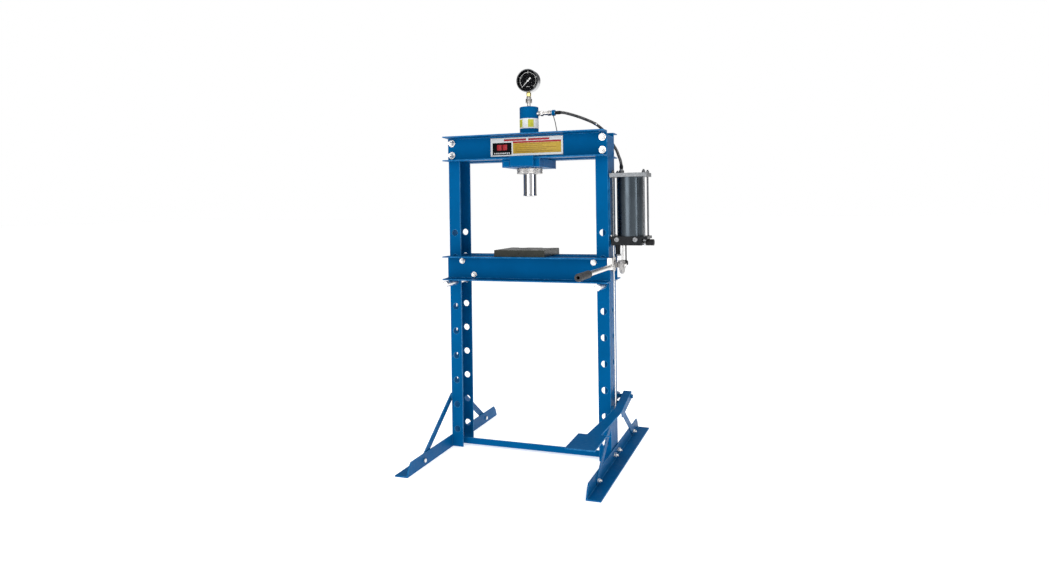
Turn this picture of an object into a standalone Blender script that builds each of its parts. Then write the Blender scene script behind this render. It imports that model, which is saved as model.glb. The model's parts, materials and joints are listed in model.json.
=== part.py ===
"""H-frame hydraulic shop press with an air-hydraulic pump, a foot pedal and a pinned bed.

Metres, +Z up, the front of the press faces -Y. Every length below is measured from the
middle of the frame at floor level; FRAME moves the finished assembly so that the
middle of its whole footprint is within 10 mm of X = 0, Y = 0.
"""

import math

import bmesh
import bpy
from mathutils import Matrix, Vector

GAP = 0.0003

# Posts: C-channels that open inward, with pin holes through both flanges
POST_OUT = 0.379  # outer face of each web
POST_D = 0.122  # depth over the flanges
POST_FLANGE = 0.055
POST_T = 0.006
POST_BOTTOM, POST_TOP = 0.004, 1.420
HOLE_X = 0.352
HOLE_R = 0.0150
HOLE_SIDES = 12
HOLE_PITCH = 0.114
HOLE_Z0 = 0.0855
HOLE_COUNT = 9
WEB_HOLES = (2, 3, 4, 5)

# Crown and bed: pairs of channels in front of and behind the posts
CHAN_T = 0.007
CHAN_REACH = 0.068
CROWN_HALF, CROWN_Z0, CROWN_Z1 = 0.378, 1.327, 1.440
BED_HALF, BED_Z0, BED_Z1 = 0.386, 0.7826, 0.8910
CROWN_BOLT_X, CROWN_BOLT_ZS = 0.358, (1.356, 1.4115)
BED_BOLTS = ((-0.312, 0.868), (-0.253, 0.806), (0.312, 0.868), (0.253, 0.806))

# Ram
PLATE_HALF_X, PLATE_HALF_Y, PLATE_Z0, PLATE_Z1 = 0.088, 0.120, 1.2895, 1.3265
CYL_R, CYL_TOP, NECK_R, BORE_R = 0.0435, 1.568, 0.036, 0.0335
RING_R, RING_Z0 = 0.0585, 1.263
ROD_R, ROD_TIP = 0.0300, 1.162
PISTON_TOP = 1.536
PORT_Z = 1.536

# Pressure gauge
GAUGE_Z, GAUGE_R = 1.688, 0.050

# Loose steel on the bed
PIN_R, PIN_Y0, PIN_Y1 = 0.0135, -0.171, 0.165
PIN_Z = HOLE_Z0 + 6 * HOLE_PITCH - (HOLE_R * math.cos(math.pi / HOLE_SIDES) - PIN_R) + GAP
BOLSTER_T, BOLSTER_HALF_Y = 0.030, 0.110
BOLSTER_X = (-0.137, -0.0175, 0.102)

# Feet, braces and cross bar
FOOT_OUT, FOOT_T, FOOT_H, FOOT_Y = 0.440, 0.006, 0.056, 0.490
BRACE_W, BRACE_T = 0.030, 0.005
BRACE_TOP = (0.045, 0.232)
BRACE_END = (0.340, 0.026)

# Air-hydraulic pump on the outside of the right post
PUMP_X = 0.463
BARREL_R = 0.0555
TOP_PLATE = (1.237, 1.254)
BLOCK = (0.942, 0.981)
TIE_XS, TIE_Y, TIE_R = (0.397, 0.531), 0.045, 0.0045
SILENCER_END = 0.568

# Hand lever, release knob and hose port, all on the pump
KNOB = (0.447, -0.030)  # X, Y
HOSE_PORT = (0.4195, 0.025)  # X, Y
LEVER_X = 0.413
FULCRUM = (-0.085, 0.860)  # Y, Z
PLUNGER_Y = -0.035
GRIP_END = -0.670

# Foot pedal
PEDAL_PIVOT = (0.075, 0.262)  # Y, Z
ROD_X, ROD_Y = 0.396, -0.045
ARM_X = (0.402, 0.438)
PAD = (0.306, 0.424, -0.512, -0.322, 0.200)

FRAME = Vector((-(SILENCER_END - FOOT_OUT) / 2, 0.100, 0.0))

COLOURS = {
    "blue_paint": ((0.000, 0.095, 0.330), 0.0, 0.35),
    "zinc": ((0.62, 0.62, 0.60), 0.9, 0.35),
    "chrome": ((0.80, 0.80, 0.80), 1.0, 0.12),
    "dark_steel": ((0.035, 0.037, 0.028), 0.6, 0.45),
    "black": ((0.010, 0.010, 0.011), 0.1, 0.25),
    "rubber": ((0.018, 0.018, 0.020), 0.0, 0.70),
    "brass": ((0.60, 0.42, 0.16), 0.9, 0.30),
    "grey": ((0.33, 0.34, 0.35), 0.5, 0.45),
    "white": ((0.80, 0.80, 0.78), 0.0, 0.45),
    "glass": ((0.90, 0.93, 0.95), 0.0, 0.05),
}


def material(name):
    found = bpy.data.materials.get(name)
    if found:
        return found
    colour, metal, rough = COLOURS[name]
    made = bpy.data.materials.new(name)
    made.use_nodes = True
    shader = made.node_tree.nodes["Principled BSDF"]
    shader.inputs["Base Color"].default_value = (*colour, 1.0)
    shader.inputs["Metallic"].default_value = metal
    shader.inputs["Roughness"].default_value = rough
    return made


def prism(outline, axis, low, high):
    """A closed outline pushed along an axis. It is (Y, Z) for x, (X, Z) for y and (X, Y) for z."""
    place = {
        "x": lambda a, b, t: (t, a, b),
        "y": lambda a, b, t: (a, t, b),
        "z": lambda a, b, t: (a, b, t),
    }[axis]
    bm = bmesh.new()
    rows = [[bm.verts.new(place(a, b, t)) for a, b in outline] for t in (low, high)]
    bm.faces.new(rows[0])
    bm.faces.new(rows[1])
    n = len(outline)
    for i in range(n):
        j = (i + 1) % n
        bm.faces.new((rows[0][i], rows[0][j], rows[1][j], rows[1][i]))
    bmesh.ops.recalc_face_normals(bm, faces=bm.faces)
    return bm


def box(x0, x1, y0, y1, z0, z1):
    return prism([(x0, y0), (x1, y0), (x1, y1), (x0, y1)], "z", z0, z1)


def polygon(centre, radius, sides, turn=0.0):
    return [
        (
            centre[0] + radius * math.cos(turn + 2 * math.pi * i / sides),
            centre[1] + radius * math.sin(turn + 2 * math.pi * i / sides),
        )
        for i in range(sides)
    ]


def bar(centre, radius, axis, low, high, sides=16):
    return prism(polygon(centre, radius, sides, math.pi / sides), axis, low, high)


def hexagon(centre, across, axis, low, high):
    return prism(polygon(centre, across / math.sqrt(3), 6, math.pi / 6), axis, low, high)


def turned(profile, axis, centre, sides=20):
    """A profile of (radius, height) points turned about an axis through centre.

    A profile that starts and ends at radius 0 is a solid; otherwise it is closed into a ring.
    """
    place = {
        "x": lambda a, b, t: (t, centre[0] + a, centre[1] + b),
        "y": lambda a, b, t: (centre[0] + a, t, centre[1] + b),
        "z": lambda a, b, t: (centre[0] + a, centre[1] + b, t),
    }[axis]
    bm = bmesh.new()
    rings = []
    for radius, height in profile:
        if radius == 0:
            rings.append([bm.verts.new(place(0, 0, height))] * sides)
        else:
            around = polygon((0, 0), radius, sides, math.pi / sides)
            rings.append([bm.verts.new(place(a, b, height)) for a, b in around])
    pairs = list(zip(rings, rings[1:]))
    if profile[0][0] != 0:
        pairs.append((rings[-1], rings[0]))
    for low, high in pairs:
        for i in range(sides):
            j = (i + 1) % sides
            corners = []
            for v in (low[i], low[j], high[j], high[i]):
                if v not in corners:
                    corners.append(v)
            if len(corners) > 2:
                bm.faces.new(corners)
    bmesh.ops.recalc_face_normals(bm, faces=bm.faces)
    return bm


def tube(points, radius, sides=8):
    """A round tube with closed ends that follows the points."""
    bm = bmesh.new()
    points = [Vector(p) for p in points]
    rings, side = [], None
    for i, p in enumerate(points):
        along = (points[min(i + 1, len(points) - 1)] - points[max(i - 1, 0)]).normalized()
        side = along.orthogonal() if side is None else side - along * side.dot(along)
        side.normalize()
        other = along.cross(side)
        turns = [2 * math.pi * k / sides for k in range(sides)]
        rings.append(
            [bm.verts.new(p + radius * (side * math.cos(t) + other * math.sin(t))) for t in turns]
        )
    for low, high in zip(rings, rings[1:]):
        for k in range(sides):
            j = (k + 1) % sides
            bm.faces.new((low[k], low[j], high[j], high[k]))
    bm.faces.new(rings[0])
    bm.faces.new(rings[-1])
    bmesh.ops.recalc_face_normals(bm, faces=bm.faces)
    return bm


def smooth_path(points, per_piece=8):
    """Points on a smooth curve through the given ones."""
    points = [Vector(p) for p in points]
    padded = [2 * points[0] - points[1], *points, 2 * points[-1] - points[-2]]
    out = []
    for a, b, c, d in zip(padded, padded[1:], padded[2:], padded[3:]):
        for k in range(per_piece):
            t = k / per_piece
            out.append(
                0.5
                * (
                    2 * b
                    + (c - a) * t
                    + (2 * a - 5 * b + 4 * c - d) * t * t
                    + (3 * b - a - 3 * c + d) * t**3
                )
            )
    return [*out, points[-1]]


def as_object(name, bm):
    mesh = bpy.data.meshes.new(name)
    bm.to_mesh(mesh)
    bm.free()
    made = bpy.data.objects.new(name, mesh)
    bpy.context.scene.collection.objects.link(made)
    return made


def combine(target, other, how):
    """target joined with or cut by other, for good."""
    step = target.modifiers.new(how, "BOOLEAN")
    step.operation = how
    step.solver = "EXACT"
    step.object = other
    bpy.context.view_layer.update()
    graph = bpy.context.evaluated_depsgraph_get()
    result = bpy.data.meshes.new_from_object(target.evaluated_get(graph))
    target.modifiers.clear()
    target.data = result
    bpy.data.objects.remove(other)


def piece(name, paint, adds, cuts=(), origin=(0, 0, 0), parent=None):
    """One closed body of the press: the adds joined together, less the cuts."""
    made = as_object(name, adds[0])
    for extra in adds[1:]:
        combine(made, as_object("add", extra), "UNION")
    if cuts:
        whole = bmesh.new()
        for cut in cuts:
            part = bpy.data.meshes.new("cut")
            cut.to_mesh(part)
            cut.free()
            whole.from_mesh(part)
            bpy.data.meshes.remove(part)
        combine(made, as_object("cut", whole), "DIFFERENCE")
    made.data.name = name
    made.data.materials.clear()
    made.data.materials.append(material(paint))
    made.data.shade_smooth()
    made.data.set_sharp_from_angle(angle=math.radians(35))
    origin = Vector(origin)
    made.data.transform(Matrix.Translation(-origin))
    made.location = origin + FRAME
    if parent:
        made.parent = parent
        made.location = origin + FRAME - parent.matrix_world.translation
    bpy.context.view_layer.update()
    return made


def channel(y, z0, z1, half, holes):
    """A channel along X outside the posts. Its web faces the posts and its flanges point away."""
    s = 1 if y > 0 else -1
    inner = s * (POST_D / 2 + GAP)
    web = inner + s * CHAN_T
    tip = inner + s * CHAN_REACH
    t = CHAN_T + 0.001
    outline = [
        (inner, z0),
        (tip, z0),
        (tip, z0 + 0.005),
        (web, z0 + t),
        (web, z1 - t),
        (tip, z1 - 0.005),
        (tip, z1),
        (inner, z1),
    ]
    lows = sorted((inner - s * 0.01, web + s * 0.01))
    cuts = [bar((x, z), r, "y", *lows, 12) for x, z, r in holes]
    return [prism(outline, "x", -half, half)], cuts


def post(side):
    """A post with its pin holes, the bolt holes of the crown and the round holes in its web."""
    out, lip, y = POST_OUT, POST_OUT - POST_FLANGE, POST_D / 2
    inside = out - POST_T
    outline = [
        (side * a, b)
        for a, b in (
            (out, -y),
            (out, y),
            (lip, y),
            (lip, y - POST_T),
            (inside, y - POST_T),
            (inside, POST_T - y),
            (lip, POST_T - y),
            (lip, -y),
        )
    ]
    cuts = []
    for s in (-1, 1):
        near, far = sorted((s * (y + 0.01), s * (y - 0.015)))
        for k in range(HOLE_COUNT):
            centre = (side * HOLE_X, HOLE_Z0 + k * HOLE_PITCH)
            cuts.append(bar(centre, HOLE_R, "y", near, far, HOLE_SIDES))
        for z in CROWN_BOLT_ZS:
            cuts.append(bar((side * CROWN_BOLT_X, z), 0.0092, "y", near, far, 8))
    near, far = sorted((side * (out + 0.01), side * (inside - 0.01)))
    for k in WEB_HOLES:
        cuts.append(bar((0, HOLE_Z0 + k * HOLE_PITCH), 0.0125, "x", near, far, 12))
    return [prism(outline, "z", POST_BOTTOM, POST_TOP)], cuts


def foot(side):
    """An angle section along Y: one leg stands against the post, the other lies on the floor."""
    a, b, c = POST_OUT + GAP, POST_OUT + GAP + FOOT_T, FOOT_OUT
    corners = ((a, 0), (c, 0), (c, FOOT_T), (b, FOOT_T), (b, FOOT_H), (a, FOOT_H))
    section = [(side * x, z) for x, z in corners]
    cuts = []
    for s in (-1, 1):
        corner = [(s * 0.455, 0.1), (s * 0.455, FOOT_H), (s * 0.475, 0.036), (s * FOOT_Y, FOOT_T)]
        corner += [(s * 0.51, FOOT_T), (s * 0.51, 0.1)]
        near, far = sorted((side * (a - 0.01), side * (b + 0.0001)))
        cuts.append(prism(corner, "x", near, far))
    return [prism(section, "y", -FOOT_Y, FOOT_Y)], cuts


def brace(side, s):
    """A flat bar from the foot's standing leg up to a welded spacer on the post's web."""
    top, end = Vector((s * BRACE_TOP[0], BRACE_TOP[1])), Vector((s * BRACE_END[0], BRACE_END[1]))
    along = (end - top).normalized()
    across = Vector((-along.y, along.x)) * BRACE_W / 2
    outline = []
    for centre, way in ((top, -1), (end, 1)):
        for k in range(7):
            turn = math.pi * (k / 6 - 0.5)
            point = centre + along * way * (BRACE_W / 2) * math.cos(turn)
            outline.append(tuple(point + across * way * math.sin(turn)))
    a = POST_OUT + FOOT_T + 2 * GAP
    near, far = sorted((side * a, side * (a + BRACE_T)))
    spacer = sorted((side * (POST_OUT + GAP), side * (a + 0.001)))
    return [prism(outline, "x", near, far), bar(tuple(top), 0.013, "x", *spacer, 16)]


def crown_bolt(name, x, z):
    """A bolt through the post's flange and the crown's web, with its washer and nut in front."""
    y = -POST_D / 2
    inner, outer = y + POST_T + GAP, y - CHAN_T - 2 * GAP
    return piece(
        name,
        "zinc",
        [
            bar((x, z), 0.008, "y", outer - 0.030, inner + 0.004, 12),
            hexagon((x, z), 0.023, "y", inner, inner + 0.009),
            bar((x, z), 0.0155, "y", outer - 0.0025, outer, 20),
            hexagon((x, z), 0.024, "y", outer - 0.015, outer - 0.0005),
        ],
    )


def bed_bolt(name, x, z, parent):
    """A tie bolt between the two bed channels, with its spacer sleeve, head and nut."""
    inside = POST_D / 2
    outside = inside + CHAN_T + 2 * GAP
    return piece(
        name,
        "zinc",
        [
            bar((x, z), 0.010, "y", -inside, inside, 16),
            bar((x, z), 0.0065, "y", -outside - 0.018, outside + 0.018, 12),
            hexagon((x, z), 0.022, "y", -outside - 0.011, -outside),
            hexagon((x, z), 0.022, "y", outside, outside + 0.011),
        ],
        parent=parent,
        origin=(x, 0, z),
    )


def build_frame():
    for side, name in ((-1, "left"), (1, "right")):
        piece(f"{name}_post", "blue_paint", *post(side))
        piece(f"{name}_foot", "blue_paint", *foot(side))
        for s, end in ((-1, "front"), (1, "rear")):
            piece(f"{name}_{end}_brace", "blue_paint", brace(side, s))
    bolts = [(x, z, 0.0085) for x in (-CROWN_BOLT_X, CROWN_BOLT_X) for z in CROWN_BOLT_ZS]
    for y, name in ((-1, "front"), (1, "rear")):
        shape = channel(y, CROWN_Z0, CROWN_Z1, CROWN_HALF, bolts)
        piece(f"crown_{name}_channel", "blue_paint", *shape)
    for i, (x, z, _) in enumerate(bolts, 1):
        crown_bolt(f"crown_bolt_{i}", x, z)
    inside = POST_OUT - POST_T - GAP
    angle = [(-0.020, 0.008), (0.018, 0.008), (0.018, 0.013)]
    angle += [(-0.015, 0.013), (-0.015, 0.037), (-0.020, 0.037)]
    piece("cross_bar", "blue_paint", [prism(angle, "x", -inside, inside)])
    front = -POST_D / 2 - CHAN_T - 2 * GAP
    piece("nameplate", "grey", [box(-0.163, 0.181, front - 0.0015, front, 1.3435, 1.4265)])


def build_bed():
    holes = [(x, z, 0.0068) for x, z in BED_BOLTS]
    solids, cuts = channel(-1, BED_Z0, BED_Z1, BED_HALF, holes)
    front = piece("bed_front_channel", "blue_paint", solids, cuts, (0, -0.09, 0.837))
    solids, cuts = channel(1, BED_Z0, BED_Z1, BED_HALF, holes)
    piece("bed_rear_channel", "blue_paint", solids, cuts, (0, 0.09, 0.837), front)
    for i, (x, z) in enumerate(BED_BOLTS, 1):
        bed_bolt(f"bed_tie_bolt_{i}", x, z, front)
    z0 = BED_Z1 + GAP
    for i, name in enumerate(("left", "right")):
        x0, x1 = BOLSTER_X[i] + GAP, BOLSTER_X[i + 1] - GAP
        middle = (x0 + x1) / 2
        piece(
            f"{name}_bolster_plate",
            "dark_steel",
            [box(x0, x1, -BOLSTER_HALF_Y, BOLSTER_HALF_Y, z0, z0 + BOLSTER_T)],
            [bar((middle, BOLSTER_HALF_Y), 0.022, "z", z0 - 0.01, z0 + BOLSTER_T + 0.01, 24)],
            (middle, 0, z0),
            front,
        )
    for side, name in ((-1, "left"), (1, "right")):
        x, c = side * HOLE_X, 0.0025
        outline = [(0, PIN_Y0), (PIN_R - c, PIN_Y0), (PIN_R, PIN_Y0 + c), (PIN_R, PIN_Y1 - c)]
        outline += [(PIN_R - c, PIN_Y1), (0, PIN_Y1)]
        piece(f"{name}_bed_pin", "zinc", [turned(outline, "y", (x, PIN_Z))], (), (x, 0, PIN_Z))


def build_ram():
    piece(
        "ram_support_plate",
        "blue_paint",
        [box(-PLATE_HALF_X, PLATE_HALF_X, -PLATE_HALF_Y, PLATE_HALF_Y, PLATE_Z0, PLATE_Z1)],
        [bar((0, 0), NECK_R + 2 * GAP, "z", PLATE_Z0 - 0.01, PLATE_Z1 + 0.01, 32)],
    )
    low = PLATE_Z1 + GAP
    cylinder = [
        (BORE_R, RING_Z0 + 0.001),
        (NECK_R, RING_Z0 + 0.001),
        (NECK_R, low),
        (CYL_R, low),
        (CYL_R, CYL_TOP - 0.003),
        (CYL_R - 0.003, CYL_TOP),
        (0, CYL_TOP),
    ]
    cylinder = [(0, CYL_TOP - 0.014), (BORE_R, CYL_TOP - 0.014), *cylinder]
    piece("ram_cylinder", "blue_paint", [turned(cylinder, "z", (0, 0), 24)])
    ring = [
        (NECK_R + 2 * GAP, RING_Z0),
        (RING_R - 0.002, RING_Z0),
        (RING_R, RING_Z0 + 0.002),
        (RING_R, PLATE_Z0 - GAP - 0.002),
        (RING_R - 0.002, PLATE_Z0 - GAP),
        (NECK_R + 2 * GAP, PLATE_Z0 - GAP),
    ]
    piece("ram_lock_ring", "zinc", [turned(ring, "z", (0, 0), 24)])
    rod = [
        (0, ROD_TIP),
        (ROD_R - 0.001, ROD_TIP),
        (ROD_R + 0.001, ROD_TIP + 0.002),
        (ROD_R + 0.001, ROD_TIP + 0.008),
        (ROD_R, ROD_TIP + 0.009),
        (ROD_R, PISTON_TOP - 0.040),
        (BORE_R - 2 * GAP, PISTON_TOP - 0.040),
        (BORE_R - 2 * GAP, PISTON_TOP),
        (0.018, PISTON_TOP),
        (0.018, 1.250),
        (0, 1.250),
    ]
    piece("ram_piston_rod", "chrome", [turned(rod, "z", (0, 0), 24)], (), (0, 0, ROD_TIP))
    low, high, turns, steps = 1.254, CYL_TOP - 0.018, 9, 8
    coil = []
    for k in range(steps * turns + 1):
        turn = 2 * math.pi * k / steps
        z = low + (high - low) * k / (steps * turns)
        coil.append((0.012 * math.cos(turn), 0.012 * math.sin(turn), z))
    piece("ram_return_spring", "zinc", [tube(coil, 0.002, 4)], (), (0, 0, high))


def build_gauge():
    piece(
        "gauge_adapter",
        "zinc",
        [
            bar((0, 0), 0.009, "z", CYL_TOP + GAP, 1.590, 16),
            hexagon((0, 0), 0.028, "z", 1.586, 1.617),
        ],
    )
    low, high = 1.617 + GAP, GAUGE_Z - GAUGE_R - GAP
    piece("gauge_stem", "brass", [box(-0.010, 0.010, -0.010, 0.010, low, high)])
    centre = (0, GAUGE_Z)
    case = [(0, 0.014), (GAUGE_R - 0.002, 0.014), (GAUGE_R, 0.012), (GAUGE_R, -0.016)]
    case += [(GAUGE_R - 0.002, -0.016), (GAUGE_R - 0.002, 0.010), (0, 0.010)]
    piece("gauge_case", "zinc", [turned(case, "y", centre, 24)])
    bezel = [
        (GAUGE_R + GAP, -0.0105),
        (GAUGE_R + 0.003, -0.0105),
        (GAUGE_R + 0.003, -0.019),
        (GAUGE_R + 0.0005, -0.022),
        (GAUGE_R - 0.006, -0.020),
        (GAUGE_R - 0.006, -0.0163),
        (GAUGE_R + GAP, -0.0163),
    ]
    piece("gauge_bezel", "chrome", [turned(bezel, "y", centre, 24)])
    piece("gauge_dial", "black", [bar(centre, GAUGE_R - 0.0025, "y", -0.0085, -0.007, 24)])
    r = GAUGE_R - 0.0026
    piece("gauge_lens", "glass", [bar(centre, r, "y", -0.0158, -0.0138, 24)])
    hand, turn = [], math.radians(225)
    for along, half in ((-0.012, 0.0022), (0.034, 0.0006), (0.034, -0.0006), (-0.012, -0.0022)):
        hand.append(
            (
                along * math.cos(turn) - half * math.sin(turn),
                GAUGE_Z + along * math.sin(turn) + half * math.cos(turn),
            )
        )
    piece(
        "gauge_needle",
        "white",
        [prism(hand, "y", -0.0110, -0.0102), bar(centre, 0.0045, "y", -0.0128, -0.0090, 12)],
        (),
        (0, -0.010, GAUGE_Z),
    )


def build_hose():
    y, z = 0.0, PORT_Z
    face = CYL_R + GAP
    saddle = bar((0, 0), CYL_R + 0.0003, "z", z - 0.05, z + 0.05, 32)
    piece(
        "ram_port_fitting",
        "zinc",
        [
            bar((y, z), 0.009, "x", face - 0.004, 0.090, 16),
            hexagon((y, z), 0.022, "x", 0.056, 0.070),
        ],
        [saddle],
    )
    piece(
        "hose_coupler",
        "zinc",
        [
            bar((y, z), 0.0125, "x", 0.0903, 0.108, 16),
            bar((y, z), 0.0095, "x", 0.107, 0.128, 16),
        ],
    )
    stand = TOP_PLATE[1] + GAP
    piece(
        "pump_hose_fitting",
        "zinc",
        [
            bar(HOSE_PORT, 0.009, "z", stand, 1.2732, 16),
            hexagon(HOSE_PORT, 0.022, "z", stand + 0.002, stand + 0.014),
        ],
    )
    route = [
        (0.1285, 0.0, z),
        (0.160, 0.0008, z - 0.0008),
        (0.194, 0.0115, 1.5265),
        (0.228, 0.034, 1.515),
        (0.2557, 0.064, 1.5035),
        (0.281, 0.095, 1.4905),
        (0.3015, 0.123, 1.4735),
        (0.318, 0.1415, 1.4535),
        (0.3322, 0.1495, 1.431),
        (0.3462, 0.1475, 1.409),
        (0.36, 0.1375, 1.3895),
        (0.3732, 0.121, 1.3719),
        (0.3845, 0.1015, 1.3561),
        (0.3939, 0.0812, 1.3405),
        (0.4021, 0.063, 1.3285),
        (0.4098, 0.0465, 1.3165),
        (0.4157, 0.0333, 1.3025),
        (0.4186, 0.027, 1.289),
        (*HOSE_PORT, 1.2750),
    ]
    piece("hydraulic_hose", "black", [tube(smooth_path(route, 4), 0.0065, 8)])


def build_pump():
    wall = POST_OUT + GAP
    face = wall + 0.0052
    piece("pump_bracket", "blue_paint", [box(wall, face - GAP, -0.050, 0.050, 0.935, 1.252)])
    holes = [(x, y) for x in TIE_XS for y in (-TIE_Y, TIE_Y)]
    z0, z1 = TOP_PLATE
    drill = [bar(h, TIE_R + 2 * GAP, "z", z0 - 0.01, z1 + 0.01, 12) for h in holes]
    piece("pump_top_plate", "grey", [box(face, 0.545, -0.058, 0.058, z0, z1)], drill)
    z0, z1 = BLOCK
    tee = [
        (face, 0.969),
        (face, z1),
        (0.545, z1),
        (0.545, 0.969),
        (0.522, 0.969),
        (0.522, z0),
        (0.390, z0),
        (0.390, 0.969),
    ]
    drill = [
        bar((x, y), TIE_R + 2 * GAP, "z", 0.969 if x < PUMP_X else z0 - 0.01, z1 + 0.01, 12)
        for x, y in holes
    ]
    drill.append(bar((ROD_X, ROD_Y), 0.0045, "z", z0 - 0.01, z0 + 0.020, 12))
    drill.append(bar((LEVER_X, PLUNGER_Y), 0.0075, "z", z0 - 0.01, z0 + 0.020, 16))
    drill.append(bar(KNOB, 0.0036, "z", z0 - 0.01, z0 + 0.012, 12))
    piece("pump_base_block", "black", [prism(tee, "y", -0.058, 0.058)], drill)
    low, high = BLOCK[1] + GAP, TOP_PLATE[0] - GAP
    inner = BARREL_R - 0.004
    wall = [(inner, low), (BARREL_R, low), (BARREL_R, high), (inner, high)]
    piece("pump_barrel", "black", [turned(wall, "z", (PUMP_X, 0), 28)])
    for i, (x, y) in enumerate(holes, 1):
        top = TOP_PLATE[1] + GAP
        rod = [
            bar((x, y), TIE_R, "z", 0.9693 if x < PUMP_X else 0.952, top + 0.014, 12),
            hexagon((x, y), 0.013, "z", top, top + 0.008),
        ]
        if x > PUMP_X:
            rod.append(hexagon((x, y), 0.013, "z", 0.9605, 0.969 - GAP))
        piece(f"pump_tie_rod_{i}", "zinc", rod)
    y, z = -0.016, 0.954
    start = 0.522 + GAP
    outline = [
        (0, start),
        (0.0085, start),
        (0.0085, 0.530),
        (0.0145, 0.531),
        (0.0145, SILENCER_END - 0.002),
        (0.0125, SILENCER_END),
        (0, SILENCER_END),
    ]
    piece("air_silencer", "black", [turned(outline, "x", (y, z))])


def build_lever():
    x, z0 = LEVER_X, BLOCK[0] - GAP
    barrel = [(0.0068, 0.897), (0.0115, 0.897), (0.0115, z0), (0.0068, z0)]
    piece("hand_pump_cylinder", "black", [turned(barrel, "z", (x, PLUNGER_Y), 20)])
    rest = FULCRUM[1] + 0.0095
    piece(
        "hand_pump_plunger",
        "chrome",
        [
            bar((x, PLUNGER_Y), 0.006, "z", rest + 0.002, 0.935, 16),
            bar((x, PLUNGER_Y), 0.0078, "z", rest, rest + 0.006, 16),
        ],
        (),
        (x, PLUNGER_Y, rest),
    )
    y, z = FULCRUM
    wall = POST_OUT + GAP
    outer = 0.4252
    arm = [(y, z - 0.012), (0.030, z - 0.020), (0.030, z + 0.014), (y, z + 0.012)]
    piece(
        "lever_bracket",
        "zinc",
        [
            box(wall, wall + 0.006, -0.012, 0.045, 0.826, 0.886),
            box(wall + 0.005, outer + 0.007, 0.006, 0.030, 0.842, 0.872),
            prism(arm, "x", outer, outer + 0.007),
            bar(FULCRUM, 0.012, "x", outer, outer + 0.007, 20),
            bar(FULCRUM, 0.005, "x", 0.4035, outer + 0.001, 16),
        ],
    )
    socket = [
        prism(
            [(-0.190, z - 0.0115), (-0.064, z - 0.009), (-0.064, z + 0.009), (-0.190, z + 0.0115)],
            "x",
            x - 0.0115,
            x + 0.0115,
        ),
        bar((PLUNGER_Y, z), 0.009, "x", x - 0.0065, x + 0.0065, 16),
        box(x - 0.0065, x + 0.0065, -0.066, PLUNGER_Y, z - 0.007, z + 0.001),
        bar((x, z), 0.010, "y", -0.600, -0.180, 20),
        box(x - 0.0115, x + 0.0115, -0.190, -0.165, z - 0.013, z + 0.037),
    ]
    lever = piece(
        "hand_lever",
        "zinc",
        socket,
        [bar(FULCRUM, 0.0053, "x", x - 0.02, x + 0.02, 16)],
        (x, *FULCRUM),
    )
    grip = [
        (0.0103, -0.604),
        (0.0103, -0.526),
        (0.0125, -0.526),
        (0.0145, -0.531),
        (0.0145, GRIP_END + 0.003),
        (0.0125, GRIP_END),
        (0.0090, GRIP_END),
        (0.0090, GRIP_END + 0.020),
        (0, GRIP_END + 0.020),
    ]
    grip = [turned([(0, -0.604), *grip], "y", (x, z), 24)]
    piece("lever_grip", "rubber", grip, (), (x, -0.532, z), lever)
    knob = [
        (0, 0.857),
        (0.0085, 0.857),
        (0.0095, 0.859),
        (0.0095, 0.872),
        (0.0070, 0.876),
        (0.0030, 0.877),
        (0.0030, z0 + 0.010),
        (0, z0 + 0.010),
    ]
    piece("release_valve_knob", "black", [turned(knob, "z", KNOB, 20)], (), (*KNOB, 0.866))


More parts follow.
